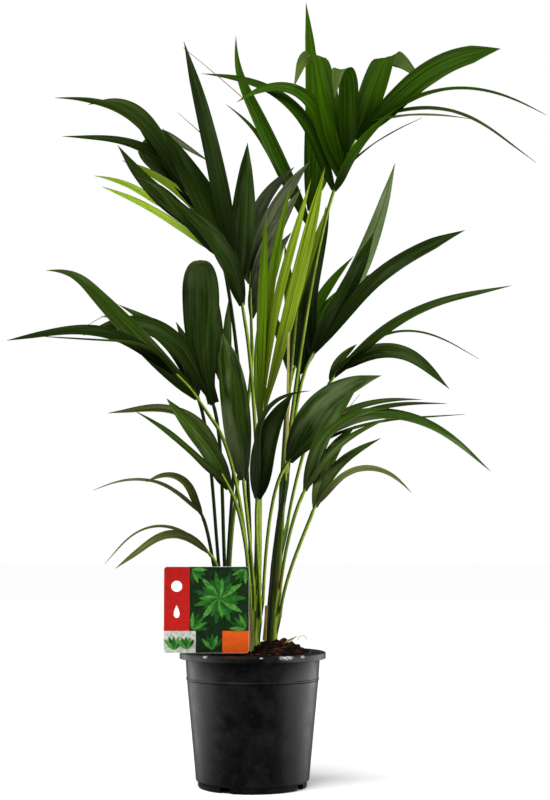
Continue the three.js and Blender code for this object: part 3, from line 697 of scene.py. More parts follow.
def pot_polypropylene():
    """Black polypropylene, injection moulded: satin, with faint draw lines, dust and rubbed edges."""
    material = start("satin_moulded_polypropylene")
    place = add(material, "ShaderNodeTexCoord").outputs["Object"]
    drawn_out = add(material, "ShaderNodeMapping", {"Vector": place, "Scale": (1.0, 1.0, 0.08)})
    draw_lines = add(material, "ShaderNodeTexNoise", {
        "Vector": drawn_out.outputs[0], "Scale": 1 / (5 * MM), "Detail": 4.0, "Roughness": 0.6})
    dust = add(material, "ShaderNodeTexNoise", {
        "Vector": place, "Scale": 1 / (22 * MM), "Detail": 6.0, "Roughness": 0.7}).outputs["Fac"]
    specks = add(material, "ShaderNodeTexNoise", {
        "Vector": place, "Scale": 1 / (1.8 * MM), "Detail": 3.0, "Roughness": 0.6}).outputs["Fac"]
    film = tint(material, linear("#040406"), dust, (0.42, 0.72), (0.0, 0.7), "#1c1815")
    colour = tint(material, film, specks, (0.62, 0.72), (0.0, 0.16), "#5c5852")
    wear_and_highlight_breakup = add(material, "ShaderNodeMapRange", {
        "Value": specks, "From Min": 0.4, "From Max": 0.58, "To Max": 0.9})
    for x, wide in RIM_SCUFFS:
        y = -math.sqrt(RIM_RADIUS ** 2 - x ** 2)
        centred = add(material, "ShaderNodeVectorMath", {
            0: place, 1: (x * MM, y * MM, (POT_TOP - 1.5) * MM)}, operation="SUBTRACT")
        flat = add(material, "ShaderNodeVectorMath", {
            0: centred.outputs["Vector"], 1: (1.0, 1.0, 2.2)}, operation="MULTIPLY")
        away = add(material, "ShaderNodeVectorMath", {0: flat.outputs["Vector"]}, operation="LENGTH")
        near = add(material, "ShaderNodeMapRange", {
            "Value": away.outputs["Value"], "From Min": 0.25 * wide * MM, "From Max": wide * MM,
            "To Min": 1.0, "To Max": 0.0})
        rubbed = add(material, "ShaderNodeMath", {
            0: near.outputs[0], 1: wear_and_highlight_breakup.outputs[0]}, operation="MULTIPLY")
        scuffed = add(material, "ShaderNodeMix", {
            "Factor": rubbed.outputs[0], "A": colour, "B": linear("#b9b4b0")}, data_type="RGBA")
        colour = scuffed.outputs["Result"]
    gloss = add(material, "ShaderNodeMapRange", {
        "Value": dust, "From Min": 0.35, "From Max": 0.7, "To Min": 0.34, "To Max": 0.52})
    return close(material, colour, gloss.outputs[0], 1.49, 0.11, (draw_lines.outputs["Fac"], 0.15, 0.3))


def peat():
    """Damp peat compost: nearly black, with reddish-brown fibre and no shine."""
    material = start("damp_fibrous_peat")
    place = add(material, "ShaderNodeTexCoord").outputs["Object"]
    grains = add(material, "ShaderNodeTexNoise", {
        "Vector": place, "Scale": 1 / (3.2 * MM), "Detail": 8.0, "Roughness": 0.7}).outputs["Fac"]
    clods = add(material, "ShaderNodeTexNoise", {
        "Vector": place, "Scale": 1 / (11 * MM), "Detail": 3.0, "Roughness": 0.6}).outputs["Fac"]
    base = tint(material, linear("#060403"), grains, (0.42, 0.68), (0.0, 1.0), "#1c110b")
    colour = tint(material, base, clods, (0.5, 0.68), (0.0, 0.7), "#2e180e")
    return close(material, colour, 0.9, 1.4, 0.1, (grains, 1.0, 1.5))


def print_ink(name, code, mottled):
    """Ink on a laminated card: a colour faintly mottled with a second one, under a satin film."""
    material = start(name)
    place = add(material, "ShaderNodeTexCoord").outputs["Object"]
    grain = add(material, "ShaderNodeTexNoise", {
        "Vector": place, "Scale": 1 / (4 * MM), "Detail": 3.0, "Roughness": 0.6})
    colour = tint(material, linear(code), grain.outputs["Fac"], (0.4, 0.6), (0.0, 1.0), mottled)
    return close(material, colour, 0.38, 1.5, 0.2)


def studio_paper():
    """The studio's floor: matt white paper, even and without a grain."""
    return close(start("matt_white_paper"), linear("#ffffff"), 0.9, 1.5, 0.5)


LEAF_BLADES = {tone: leaf_blade(f"waxy_leaf_{tone}", *look) for tone, look in LEAF_TONES.items()}
STALK_SKINS = {tone: stalk_wax(f"waxy_stalk_{tone}", *look) for tone, look in STALK_TONES.items()}
GREEN_SHEATH = sheath_skin("living_sheath", "#4a661a", "#84a038", "#7f8a38", 0.5, 1.6, [
    ("#8c6642", 0.03, 0.17, -0.2, 0.75),
])
# Its first band is painted shade, near black, down the stem's left side; its last is a painted highlight
# down the right. The green-yellow band low on the right and the reddish-brown fibre above it are the stem's
# own colours.
DARK_SHEATH = sheath_skin("dark_old_sheath", "#18240a", "#364a12", "#2c3412", 0.65, 1.3, [
    ("#080d04", 0.08, 0.2, -0.2, 1.2),
    ("#93a23c", 0.44, 0.16, -0.2, 0.28),
    ("#86552f", 0.42, 0.14, 0.26, 0.46),
    ("#7d9a2c", 0.5, 0.2, 0.46, 1.2),
])
DRY_STALK = sheath_skin("dead_dry_stalk", "#6e683a", "#a8a064", "#8c864e", 0.8, 0.9)
PAPER_SHEATH = sheath_skin("dried_papery_sheath", "#5f4a28", "#a08258", "#77853a", 0.75, 1.1)
OLD_STUB = sheath_skin("old_cut_stub", "#4a3d18", "#7c6c30", "#5e4e22", 0.8, 0.9)
BARK_CRUMB = sheath_skin("reddish_bark_crumb", "#24110a", "#4a2718", "#35190f", 0.9, 0.9)
ROOT_THREAD = sheath_skin("dead_root_thread", "#2e1d12", "#5e3f26", "#8d6c44", 0.85, 0.9)


# ------------------------------------------------------------------ rule of ribs and blades
def folded(rise, ends):
    return abs(rise - ends) > FOLD_TURN


def turned(share, rise, ends, bends):
    """How far a blade has turned at a share of its length, from 0 to 1."""
    half = (FOLD if folded(rise, ends) else 1) * min(bends, 1 - bends)
    return smooth((share - bends) / (2 * half) + 0.5)


def heading(angle):
    return Vector((math.cos(math.radians(angle)), 0, math.sin(math.radians(angle))))


def direction(share, rise, ends, bends, back):
    """The direction of a path at a share of its length, without its reach to the back."""
    turn = turned(share, rise, ends, bends)
    way = heading(mix(rise, ends, turn))
    if folded(rise, ends):
        way.y = back / FOLD_REACH * math.sin(math.pi * turn)
    return way.normalized()


def path(start_at, rise, ends, bends, long, back, steps):
    """The path of a rib or blade that leaves a place at one angle and ends at another."""
    finer = 4
    pace = 1 / (steps * finer)
    point = start_at.copy()
    points = [point.copy()]
    for step in range(steps * finer):
        point += direction((step + 0.5) * pace, rise, ends, bends, back) * (long * pace)
        point.y += back * pace
        if (step + 1) % finer == 0:
            points.append(point.copy())
    return points


def outline(share, taper, swell=WIDTH_RISE):
    """Width of a blade at a share of its length, as a share of its full width."""
    if share > POINT and taper > BLUNT:
        return outline(POINT, taper, swell) * (1 - share) / (1 - POINT)
    peak = swell / (swell + taper)
    full = peak ** swell * (1 - peak) ** taper
    width = share ** swell * (1 - share) ** taper / full
    return max(width, LEAF_ROOT) if share < peak else width


def axes_across(tangent):
    """Axes across a path: the first points to the front as far as the path allows."""
    front = Vector((0, -1, 0))
    front = (front - tangent * front.dot(tangent)).normalized()
    return front, front.cross(tangent)


def axes_across_blade(tangent, share, rise, ends, bends, back):
    """Axes across a blade. A folded blade shows its underside beyond the fold."""
    if not folded(rise, ends):
        return axes_across(tangent)
    turn = math.pi * turned(share, rise, ends, bends)
    front = Vector((0, -math.cos(turn), math.copysign(math.sin(turn), back)))
    front = (front - tangent * front.dot(tangent)).normalized()
    return front, front.cross(tangent)


def place_on(points, share):
    """A place on a path, and the path's tangent there."""
    whole = share * (len(points) - 1)
    low = min(int(whole), len(points) - 2)
    tangent = (points[low + 1] - points[low]).normalized()
    return points[low].lerp(points[low + 1], whole - low), tangent


# ------------------------------------------------------------------ rolled limbs
def rolled(name, points, radius_at, sides, material):
    """A closed limb along points: a flat grid is rolled round them and its ends are filled.

    radius_at gives the limb's radius, in millimetres, from its share along and its angle.
    """
    deselect()
    bpy.ops.mesh.primitive_grid_add(x_subdivisions=sides, y_subdivisions=len(points) - 1, size=1)
    limb = active()
    limb.name = name
    for vertex in limb.data.vertices:
        share = vertex.co.y + 0.5
        angle = 2 * math.pi * (vertex.co.x + 0.5)
        centre, tangent = place_on(points, share)
        front, side = axes_across(tangent)
        radius = radius_at(share, angle)
        vertex.co = (centre + (side * math.cos(angle) + front * math.sin(angle)) * radius) * MM
    bpy.ops.object.mode_set(mode="EDIT")
    bpy.ops.mesh.select_all(action="SELECT")
    bpy.ops.mesh.remove_doubles(threshold=0.005 * MM)
    bpy.ops.mesh.fill_holes(sides=0)
    bpy.ops.mesh.normals_make_consistent(inside=False)
    bpy.ops.object.mode_set(mode="OBJECT")
    limb.data.materials.append(material)
    bpy.ops.object.shade_smooth_by_angle(angle=math.radians(50))
    return limb


def stem_points(stem):
    """Places along a stem's axis, which bows a little to one side."""
    foot = Vector(stem["foot"])
    top = Vector(stem["top"])
    middle = foot.lerp(top, 0.5) + Vector((2 * stem["bow"], 0, 0))
    shares = [step / STEM_STEPS for step in range(STEM_STEPS + 1)]
    return [foot.lerp(middle, share).lerp(middle.lerp(top, share), share) for share in shares]


def stalk_foot(stem_name, height, around, radius, *_):
    """Where a stalk stands: on its stem's flat top, or beside the stem at a height."""
    stem = STEMS[stem_name]
    turn = math.radians(around)
    on_top = height == "top"
    share = 1 if on_top else (height - stem["foot"][2]) / (stem["top"][2] - stem["foot"][2])
    point, tangent = place_on(stem_points(stem), share)
    stem_radius = mix(*stem["radius"], share)
    reach = stem_radius - radius - GAP if on_top else stem_radius + radius + 3 * GAP
    point += Vector((reach * math.cos(turn), reach * math.sin(turn), 0))
    if on_top:
        point += tangent * (4 * GAP)
    return point, tangent


def tip_radius(frond):
    """Radius at the tip of a stalk, where its rib goes on."""
    return frond["stalk"][4] if len(frond["stalk"]) > 4 else RIB_RADIUS


def rib_start(rib):
    """The direction in which a rib leaves its stalk."""
    rise, _, _, long, back = rib
    angle = math.radians(rise)
    return Vector((math.cos(angle), back / long, math.sin(angle))).normalized()


def stalk_points(frond):
    """Places along a stalk, which leaves with its stem and arrives with its rib."""
    point, tangent = stalk_foot(*frond["stalk"])
    tip = Vector(frond["tip"])
    reach = STALK_EASE * (tip - point).length
    lower = point + tangent * reach
    upper = tip - rib_start(frond["rib"]) * reach
    return geometry.interpolate_bezier(point, lower, upper, tip, STALK_STEPS + 1)


def make_stalk(name, frond):
    """A leaf stalk with a groove along its front and a foot that flares a little."""
    foot_radius = frond["stalk"][3]

    def radius_at(share, angle):
        flare = 1 + 0.12 * smooth(1 - share / 0.12)
        groove = STALK_GROOVE * smooth(1 - abs(angle - math.pi / 2) / 0.9)
        return mix(foot_radius, tip_radius(frond), share) * flare * (1 - groove)

    skin = STALK_SKINS[frond["tones"][2]]
    stalk = rolled(f"leafstalk_{name}", stalk_points(frond), radius_at, STALK_SIDES, skin)
    return settle(stalk, "green_stalk", f"stalk_{name}")


# ------------------------------------------------------------------ fronds
def make_leaflet(rib_points, row, tones, swell, slim):
    """One leaflet: a grid laid along its path, folded at the midrib, pleated and given a thickness.

    It is folded like a roof at its root, and flatter from the middle of its length on.
    """
    at, rise, ends, bends, long, wide, face, back = row[:8]
    taper = row[8] if len(row) > 8 else WIDTH_FALL
    root, _ = place_on(rib_points, at)
    points = path(root, rise, ends, bends, long, back, LEAF_ALONG)
    way = math.copysign(1, rise - ends) if rise != ends else 1
    shade = dice.random()
    twist = math.radians(dice.uniform(-LEAF_TWIST, LEAF_TWIST))
    phase = dice.uniform(0, 40)
    deselect()
    bpy.ops.mesh.primitive_grid_add(x_subdivisions=LEAF_ACROSS, y_subdivisions=LEAF_ALONG, size=1)
    blade = active()
    for vertex in blade.data.vertices:
        share = 1 - (0.5 - vertex.co.y) ** TIP_CELLS
        sideways = 2 * vertex.co.x
        centre, tangent = place_on(points, share)
        front, side = axes_across_blade(tangent, share, rise, ends, bends, back)
        roll = math.radians(face) + twist * math.sin(math.pi * share)
        upper = front * math.cos(roll) + side * (way * math.sin(roll))
        edge = upper.cross(tangent)
        width = slim * wide * outline(share, taper, swell)
        roof = mix(ROOT_FOLD, LEAF_FOLD, smooth(share / 0.5))
        fold = roof * width * (0.5 - abs(sideways) ** 1.25)
        pleat = PLEAT_DEPTH * width * math.cos(math.pi * PLEATS * sideways)
        ripple = noise.noise(Vector((phase + 4 * share, sideways, phase)))
        wave = LEAF_WAVE * width * ripple * abs(sideways)
        vertex.co = (centre - edge * (sideways * width / 2) + upper * (fold + pleat + wave)) * MM
    for tone in tones:
        blade.data.materials.append(LEAF_BLADES[tone])
    shades = blade.data.attributes.new("shade", "FLOAT", "POINT")
    shades.data.foreach_set("value", [shade] * len(blade.data.vertices))
    modify(blade, "SOLIDIFY", thickness=LEAF_THICK * MM, offset=0, material_offset=1)
    return blade


def make_thread(places):
    """A dry filament that has come off the margin of a leaflet."""
    first_pull = places[0].lerp(places[1], 0.7)
    last_pull = places[-1].lerp(places[-2], 0.7)
    points = geometry.interpolate_bezier(places[0], first_pull, last_pull, places[-1], 13)
    return rolled("filament", points, lambda share, angle: 0.6 - 0.3 * share, 5, ROOT_THREAD)


def make_frond(name, frond):
    """A frond: its rib and its leaflets, joined."""
    tip = Vector(frond["tip"])
    rise, ends, bends, long, back = frond["rib"]
    start_at = tip - rib_start(frond["rib"]) * GAP
    rib_points = path(start_at, rise, ends, bends, long, back, RIB_STEPS)

    def radius_at(share, angle):
        return tip_radius(frond) * mix(1, RIB_TIP, share) * (1 + 0.06 * math.cos(3 * angle))

    skin = STALK_SKINS[frond["tones"][2]]
    pieces = [rolled(f"rib_{name}", rib_points, radius_at, RIB_SIDES, skin)]
    odd = frond.get("odd", {})
    swell = frond.get("swell", WIDTH_RISE)
    slim = frond.get("slim", 1)
    for number, row in enumerate(frond["leaves"]):
        tones = odd.get(number, frond["tones"][:2])
        pieces.append(make_leaflet(rib_points, row, tones, swell, slim))
    for thread in frond.get("threads", ()):
        pieces.append(make_thread([Vector(place) for place in thread]))
    leaves = join(pieces, f"leaves_{name}")
    bpy.ops.object.shade_smooth_by_angle(angle=math.radians(60))
    slot = {"new": "leaf_new", "deep": "leaf_dark"}.get(frond["tones"][0], "leaf_green")
    return settle(leaves, slot, f"frond_{name}")


# ------------------------------------------------------------------ stems
def stem_taper(name, share):
    """How far a stem narrows to its top, where it is only a bundle of sheaths."""
    bare = mix(1, 0.55, smooth((share - 0.45) / 0.55))
    return bare if name == "stem_right" else mix(1, 0.75, smooth((share - 0.7) / 0.3))


def make_sheath(stalk):
    """The sheath of a stalk's foot, drawn down along its stem until it sinks into it."""
    stem_name, height, around, radius = stalk[:4]
    stem = STEMS[stem_name]
    line = stem_points(stem)
    foot, _ = stalk_foot(*stalk)
    rise = stem["top"][2] - stem["foot"][2]
    start_share = 1 if height == "top" else (height - stem["foot"][2]) / rise
    end_share = max(start_share - SHEATH_LONG / rise, 0.02)
    turn = math.radians(around)
    outwards = Vector((math.cos(turn), math.sin(turn), 0))
    away = (foot - place_on(line, start_share)[0]).dot(outwards)
    last_stem_radius = mix(*stem["radius"], end_share) * stem_taper(stem_name, end_share)
    last_radius = min(1.75 * radius, 0.7 * last_stem_radius)
    sunk = last_stem_radius - last_radius - SHEATH_SUNK
    steps = 24
    points = []
    for step in range(steps + 1):
        share = mix(start_share + SHEATH_MOUTH / rise, end_share, step / steps)
        reach = mix(away, sunk, smooth(step / steps))
        points.append(place_on(line, share)[0] + outwards * reach)
    # Sheaths on the right and rear stems that do not face the right take the "shade" stalk tone: painted
    # shade.
    tone = "fresh" if stem_name == "stem_left" or math.cos(turn) > 0.3 else "shade"
    papery = stem_name == "stem_left" and 180 <= around < 250

    def radius_at(share, angle):
        return mix(radius * mix(0.8, 1.25, smooth(share / 0.25)), last_radius, smooth(share))

    return rolled("sheath", points, radius_at, 12, PAPER_SHEATH if papery else STALK_SKINS[tone])


def make_stem(name, lobes, depth, material, slot):
    """A stem wrapped in the feet of its leaf stalks, which show as rounded lobes and as long sheaths."""
    stem = STEMS[name]

    def radius_at(share, angle):
        lobe = depth * math.cos(lobes * angle + 1.6 * share)
        lump = 0.05 * noise.noise(Vector((math.cos(angle), math.sin(angle), 9 * share)) * 2.5)
        collar = 0.16 * smooth(1 - share / 0.16)
        return mix(*stem["radius"], share) * stem_taper(name, share) * (1 + lobe + lump + collar)

    pieces = [rolled(f"trunk_{name}", stem_points(stem), radius_at, 48, material)]
    for frond in FRONDS.values():
        if frond["stalk"][0] == name:
            pieces.append(make_sheath(frond["stalk"]))
    return settle(join(pieces, f"trunk_{name}"), slot, name)


for frond_name, frond_looks in FRONDS.items():
    make_stalk(frond_name, frond_looks)
    make_frond(frond_name, frond_looks)

make_stem("stem_left", 3, 0.1, GREEN_SHEATH, "green_stem")
make_stem("stem_right", 5, 0.07, DARK_SHEATH, "fibre_stem")
make_stem("stem_rear", 3, 0.1, GREEN_SHEATH, "green_stem")

for dry_name, dry in DRY_STALKS.items():
    dry_line = [Vector(dry["foot"]).lerp(Vector(dry["tip"]), step / 20) for step in range(21)]
    dry_piece = rolled(
        f"dead_{dry_name}", dry_line,
        lambda share, angle: mix(*dry["radius"], share) * (1 + 0.12 * math.cos(2 * angle + 5 * share)),
        12, OLD_STUB if dry_name == "cut_stub" else DRY_STALK)
    settle(dry_piece, "dry_fibre", dry_name)


# ------------------------------------------------------------------ pot
def ring_edge(height, radius, last_radius):
    """Draws the open edge of the pot on to the next height and radius."""
    bpy.ops.mesh.extrude_region_move()
    bpy.ops.transform.translate(value=(0, 0, height * MM))
    scale = radius / last_radius
    bpy.ops.transform.resize(value=(scale, scale, 1))


def make_pot():
    """The pot: its floor is drawn out along a profile, over the rim and down inside, then notched.

    Each step of the profile is a height and a radius.
    """
    slope = (RING_RADIUS - WALL_FOOT_RADIUS) / (RING_HEIGHT - FOOT_HEIGHT)
    above_ring = mix(RING_RADIUS, NECK_RADIUS, RING_BAND / (POT_TOP - RING_HEIGHT))
    skirt = POT_TOP - RIM_SKIRT
    under_rim = POT_TOP - RIM_THICK
    profile = [
        (0, FOOT_RADIUS - FOOT_EDGE),
        (0.6, FOOT_RADIUS - 0.6),
        (FOOT_EDGE, FOOT_RADIUS),
        (FOOT_HEIGHT - 1, FOOT_RADIUS + 0.2),
        (FOOT_HEIGHT - 0.4, FOOT_RADIUS + 0.6),
        (FOOT_HEIGHT, WALL_FOOT_RADIUS),
        (FOOT_HEIGHT + 1, WALL_FOOT_RADIUS + 0.2),
        (RING_HEIGHT - 1, RING_RADIUS - slope),
        (RING_HEIGHT - 0.3, RING_RADIUS + RING_PROUD - 0.3),
        (RING_HEIGHT + 0.5, RING_RADIUS + RING_PROUD),
        (RING_HEIGHT + RING_BAND - 0.9, RING_RADIUS + RING_PROUD - 0.1),
        (RING_HEIGHT + RING_BAND, above_ring),
        (under_rim - 2.5, NECK_RADIUS - 0.1),
        (under_rim, NECK_RADIUS + 1.5),
        (under_rim, RIM_RADIUS - RIM_THICK - 0.6),
        (under_rim - 0.6, RIM_RADIUS - RIM_THICK),
        (skirt, RIM_RADIUS - RIM_THICK),
        (skirt, RIM_RADIUS - 0.3),
        (skirt + 0.3, RIM_RADIUS),
        (POT_TOP - 1.6, RIM_RADIUS),
        (POT_TOP - 0.5, RIM_RADIUS - 0.5),
        (POT_TOP, RIM_RADIUS - 1.7),
        (POT_TOP, NECK_RADIUS - POT_WALL + 1.2),
        (POT_TOP - 1.2, NECK_RADIUS - POT_WALL),
        (RING_HEIGHT, RING_RADIUS - POT_WALL),
        (FOOT_HEIGHT, WALL_FOOT_RADIUS - POT_WALL),
        (FOOT_HEIGHT - 3, FOOT_RADIUS - POT_WALL),
        (POT_FLOOR, FOOT_RADIUS - POT_WALL),
    ]
    deselect()
    bpy.ops.mesh.primitive_circle_add(
        vertices=POT_FACETS, radius=profile[0][1] * MM, fill_type="NGON", location=(0, 0, 0))
    pot = active()
    pot.name = "nursery_pot"
    bpy.ops.object.mode_set(mode="EDIT")
    bpy.ops.mesh.select_all(action="SELECT")
    bpy.ops.mesh.normals_make_consistent(inside=False)
    bpy.ops.mesh.select_mode(type="EDGE")
    bpy.ops.mesh.select_all(action="DESELECT")
    bpy.ops.mesh.select_non_manifold()
    for (last_height, last_radius), (height, radius) in zip(profile, profile[1:]):
        ring_edge(height - last_height, radius, last_radius)
    bpy.ops.mesh.edge_face_add()
    bpy.ops.mesh.select_all(action="SELECT")
    bpy.ops.mesh.normals_make_consistent(inside=False)
    bpy.ops.object.mode_set(mode="OBJECT")
    for notch in range(NOTCHES):
        turn = math.radians(NOTCH_TURN - 90 + 360 * notch / NOTCHES)
        deselect()
        bpy.ops.mesh.primitive_cube_add(
            size=1, location=(FOOT_RADIUS * MM * math.cos(turn), FOOT_RADIUS * MM * math.sin(turn), 0))
        cut = active()
        cut.scale = (NOTCH_DEEP * MM, NOTCH_WIDE * MM, 2 * NOTCH_HIGH * MM)
        cut.rotation_euler = (0, 0, turn)
        cut_away(pot, cut)
        hole = turn + math.pi / NOTCHES
        deselect()
        bpy.ops.mesh.primitive_cylinder_add(
            vertices=32, radius=DRAIN_RADIUS * MM, depth=4 * POT_FLOOR * MM,
            location=(DRAIN_CIRCLE * MM * math.cos(hole), DRAIN_CIRCLE * MM * math.sin(hole), 0))
        cut_away(pot, active())
    pot.data.materials.clear()
    pot.data.materials.append(pot_polypropylene())
    select_only(pot)
    bpy.ops.object.shade_smooth_by_angle(angle=math.radians(38))
    return settle(pot, "pot_plastic", "pot")


def cut_away(piece, cutter):
    """Cuts one piece out of another and removes it."""
    select_only(cutter)
    bpy.ops.object.transform_apply(location=True, rotation=True, scale=True)
    modify(piece, "BOOLEAN", operation="DIFFERENCE", solver="EXACT", object=cutter)
    bpy.data.objects.remove(cutter)


# ------------------------------------------------------------------ soil
def inside_radius():
    """Radius of the pot's inside at the soil's edge."""
    return mix(RING_RADIUS, NECK_RADIUS, 0.8) - POT_WALL


def soil_height(x, y):
    """Height of the soil's surface: a low cone with a mound on it, and lumps of peat."""
    height = mix(SOIL_CROWN, SOIL_EDGE, math.hypot(x, y) / inside_radius())
    inside = 1 - ((x - MOUND["x"]) / MOUND["wide"]) ** 2 - ((y - MOUND["y"]) / MOUND["deep"]) ** 2
    if inside > 0:
        height = max(height, MOUND["z"] + MOUND["high"] * math.sqrt(inside))
    for size, rise in SOIL_LUMPS:
        height += rise * noise.noise(Vector((x, y, 3 * size)) / size)
    return height


def make_soil(material):
    """The bed of peat: a round filling that stands just clear of the pot's wall.

    Its surface is a square grid, drawn in to a circle and raised by the peat's lumps.
    """
    edge_radius = inside_radius() - GAP
    ring_radius = RING_RADIUS - POT_WALL - GAP
    foot_radius = WALL_FOOT_RADIUS - POT_WALL - GAP
    deselect()
    bpy.ops.mesh.primitive_grid_add(
        x_subdivisions=SOIL_CELLS, y_subdivisions=SOIL_CELLS, size=2 * edge_radius * MM)
    soil = active()
    soil.name = "peat_bed"
    for vertex in soil.data.vertices:
        x = vertex.co.x / MM
        y = vertex.co.y / MM
        reach = math.hypot(x, y)
        if reach > 0:
            square = max(abs(x), abs(y)) / reach
            x *= square
            y *= square
        vertex.co = metres(x, y, soil_height(x, y))
    bpy.ops.object.mode_set(mode="EDIT")
    bpy.ops.mesh.select_mode(type="EDGE")
    bpy.ops.mesh.select_all(action="DESELECT")
    bpy.ops.mesh.select_non_manifold()
    ring_edge(RING_HEIGHT - SOIL_EDGE, ring_radius, edge_radius)
    ring_edge(FOOT_HEIGHT - RING_HEIGHT, foot_radius, ring_radius)
    bpy.ops.mesh.edge_face_add()
    bpy.ops.mesh.select_all(action="SELECT")
    bpy.ops.mesh.normals_make_consistent(inside=False)
    bpy.ops.object.mode_set(mode="OBJECT")
    soil.data.materials.append(material)
    bpy.ops.object.shade_smooth_by_angle(angle=math.radians(60))
    return settle(soil, "peat_soil", "soil")


def in_the_way(x, y):
    """Whether a stem stands at a place on the soil."""
    return any(
        math.hypot(x - stem["foot"][0], y - stem["foot"][1]) < stem["radius"][0] + 1
        for stem in STEMS.values())


def soil_place():
    """A place on the soil, more often on the mound, and its height."""
    while True:
        if dice.random() < ON_MOUND:
            x = dice.gauss(MOUND["x"] + 12, 26)
            y = dice.gauss(MOUND["y"] - 8, 28)
        else:
            x = dice.uniform(-86, 86)
            y = dice.uniform(-86, 86)
        if math.hypot(x, y) < LITTER_REACH and not in_the_way(x, y):
            return x, y, soil_height(x, y)


def make_crumbs(*materials):
    """Crumbs of peat and bark: one is modelled, and roughened copies of it are laid on the soil."""
    deselect()
    bpy.ops.mesh.primitive_ico_sphere_add(subdivisions=2, radius=1)
    pattern = active()
    mesh = bmesh.new()
    for _ in range(CRUMBS):
        x, y, z = soil_place()
        size = dice.uniform(0.8, 1.8) if dice.random() < 0.7 else dice.uniform(1.8, 3.6)
        reddish = int(dice.random() < BARK_SHARE)
        angle = dice.uniform(0, math.tau)
        axis = Vector((dice.random(), dice.random(), dice.random()))
        turn = Matrix.Rotation(angle, 4, axis)
        long = dice.uniform(0.8, 1.7)
        wide = dice.uniform(0.7, 1.1)
        high = dice.uniform(0.5, 0.9)
        stretch = Matrix.Diagonal((long, wide, high, 1))
        lay = Matrix.Translation((x, y, z + 0.3 * size)) @ turn @ stretch
        seed = dice.uniform(0, 50)
        corners = []
        for vertex in pattern.data.vertices:
            rough = 1 + 0.45 * noise.noise(vertex.co * 1.6 + Vector((seed, 0, 0)))
            corners.append(mesh.verts.new((lay @ (vertex.co * size * rough)) * MM))
        for face in pattern.data.polygons:
            mesh.faces.new([corners[corner] for corner in face.vertices]).material_index = reddish
    bpy.data.objects.remove(pattern)
    data = bpy.data.meshes.new("peat_crumbs")
    mesh.to_mesh(data)
    mesh.free()
    crumbs = bpy.data.objects.new("peat_crumbs", data)
    bpy.context.scene.collection.objects.link(crumbs)
    for material in materials:
        crumbs.data.materials.append(material)
    select_only(crumbs)
    bpy.ops.object.shade_smooth_by_angle(angle=math.radians(40))
    return settle(crumbs, "peat_soil")


def make_root_threads(material):
    """Short dead roots and bark fibres that lie on the peat and stick out of it.

    A dry sliver and the loop of a pale fibre stand out at the right.
    """
    pieces = []
    for _ in range(ROOT_THREADS):
        x, y, z = soil_place()
        length = dice.uniform(5, 17)
        turn = dice.uniform(0, math.tau)
        lift = dice.uniform(0.0, 0.5)
        curl = dice.uniform(-1.2, 1.2)
        points = []
        point = Vector((x, y, z - 0.4))
        for step in range(7):
            points.append(point.copy())
            bearing = turn + curl * step / 6
            rise = lift * (1 - step / 4)
            point += Vector((math.cos(bearing), math.sin(bearing), rise)) * (length / 6)
        radius = dice.uniform(0.22, 0.5)
        pieces.append(rolled(
            "thread", points, lambda share, angle: radius * (1 - 0.7 * share), 5, material))
    pieces.append(rolled(
        "dry_sliver", [Vector(place) for place in DRY_SLIVER],
        lambda share, angle: (0.4 + 1.3 * math.sin(math.pi * share)) * (0.25 + 0.75 * math.cos(angle) ** 2),
        10, DRY_STALK))
    loop = [
        Vector((64.5 - 6 * math.cos(turn), -8, 187.5 + 5.6 * math.sin(turn)))
        for turn in (0, 0.4, 0.8, 1.2, 1.6, 2, 2.4, 2.8, 3)]
    pieces.append(rolled("pale_fibre", loop, lambda share, angle: 0.35, 6, DRY_STALK))
    return settle(join(pieces, "root_threads"), "peat_soil")


# ------------------------------------------------------------------ care card
def rounded_plate(name, left, right, bottom, top, corner, thick, front, material):
    """A flat plate with rounded corners that stands facing the front."""
    deselect()
    bpy.ops.mesh.primitive_plane_add(size=1)
    plate = active()
    plate.name = name
    for vertex in plate.data.vertices:
        x = left if vertex.co.x < 0 else right
        z = bottom if vertex.co.y < 0 else top
        vertex.co = metres(x, front, z)
    bpy.ops.object.mode_set(mode="EDIT")
    bpy.ops.mesh.select_all(action="SELECT")
    bpy.ops.mesh.bevel(offset=corner * MM, segments=8, affect="VERTICES")
    bpy.ops.object.mode_set(mode="OBJECT")
    modify(plate, "SOLIDIFY", thickness=thick * MM, offset=0)
    plate.data.materials.append(material)
    return plate


def printed(name, corners, front, material):
    """A printed shape on the card: a thin flat figure with the given corners."""
    deselect()
    bpy.ops.mesh.primitive_circle_add(vertices=len(corners), radius=1, fill_type="NGON")
    figure = active()
    figure.name = name
    for vertex, (x, z) in zip(figure.data.vertices, corners):
        vertex.co = metres(x, front, z)
    modify(figure, "SOLIDIFY", thickness=PRINT_THICK * MM, offset=0)
    figure.data.materials.append(material)
    return figure


def block(left, right, bottom, top):
    """Corners of a printed block, rounded where one lies at a corner of the card."""
    sides = (CARD["left"] + PRINT_INSET, CARD["right"] - PRINT_INSET)
    ends = (CARD["bottom"] + PRINT_INSET, CARD["top"] - PRINT_INSET)
    radius = CARD["corner"] - PRINT_INSET
    corners = []
    for x, z, to_x, to_z, first_turn in (
        (left, bottom, 1, 1, 180),
        (right, bottom, -1, 1, 270),
        (right, top, -1, -1, 0),
        (left, top, 1, -1, 90),
    ):
        if x in sides and z in ends:
            for step in range(7):
                turn = math.radians(first_turn + 15 * step)
                corners.append((
                    x + radius * (to_x + math.cos(turn)),
                    z + radius * (to_z + math.sin(turn))))
        else:
            corners.append((x, z))
    return corners


def leaf_figure(x, z, length, width, angle):
    """Corners of a simple pointed leaf that starts at a place and points along an angle."""
    corners = []
    turn = math.radians(angle)
    steps = 7
    for step in range(2 * steps):
        share = step / steps if step <= steps else 2 - step / steps
        side = 1 if step < steps else -1
        half = side * width / 2 * math.sin(math.pi * min(share, 1)) ** 0.9
        along = length * share
        corners.append((
            x + along * math.cos(turn) - half * math.sin(turn),
            z + along * math.sin(turn) + half * math.cos(turn)))
    return corners


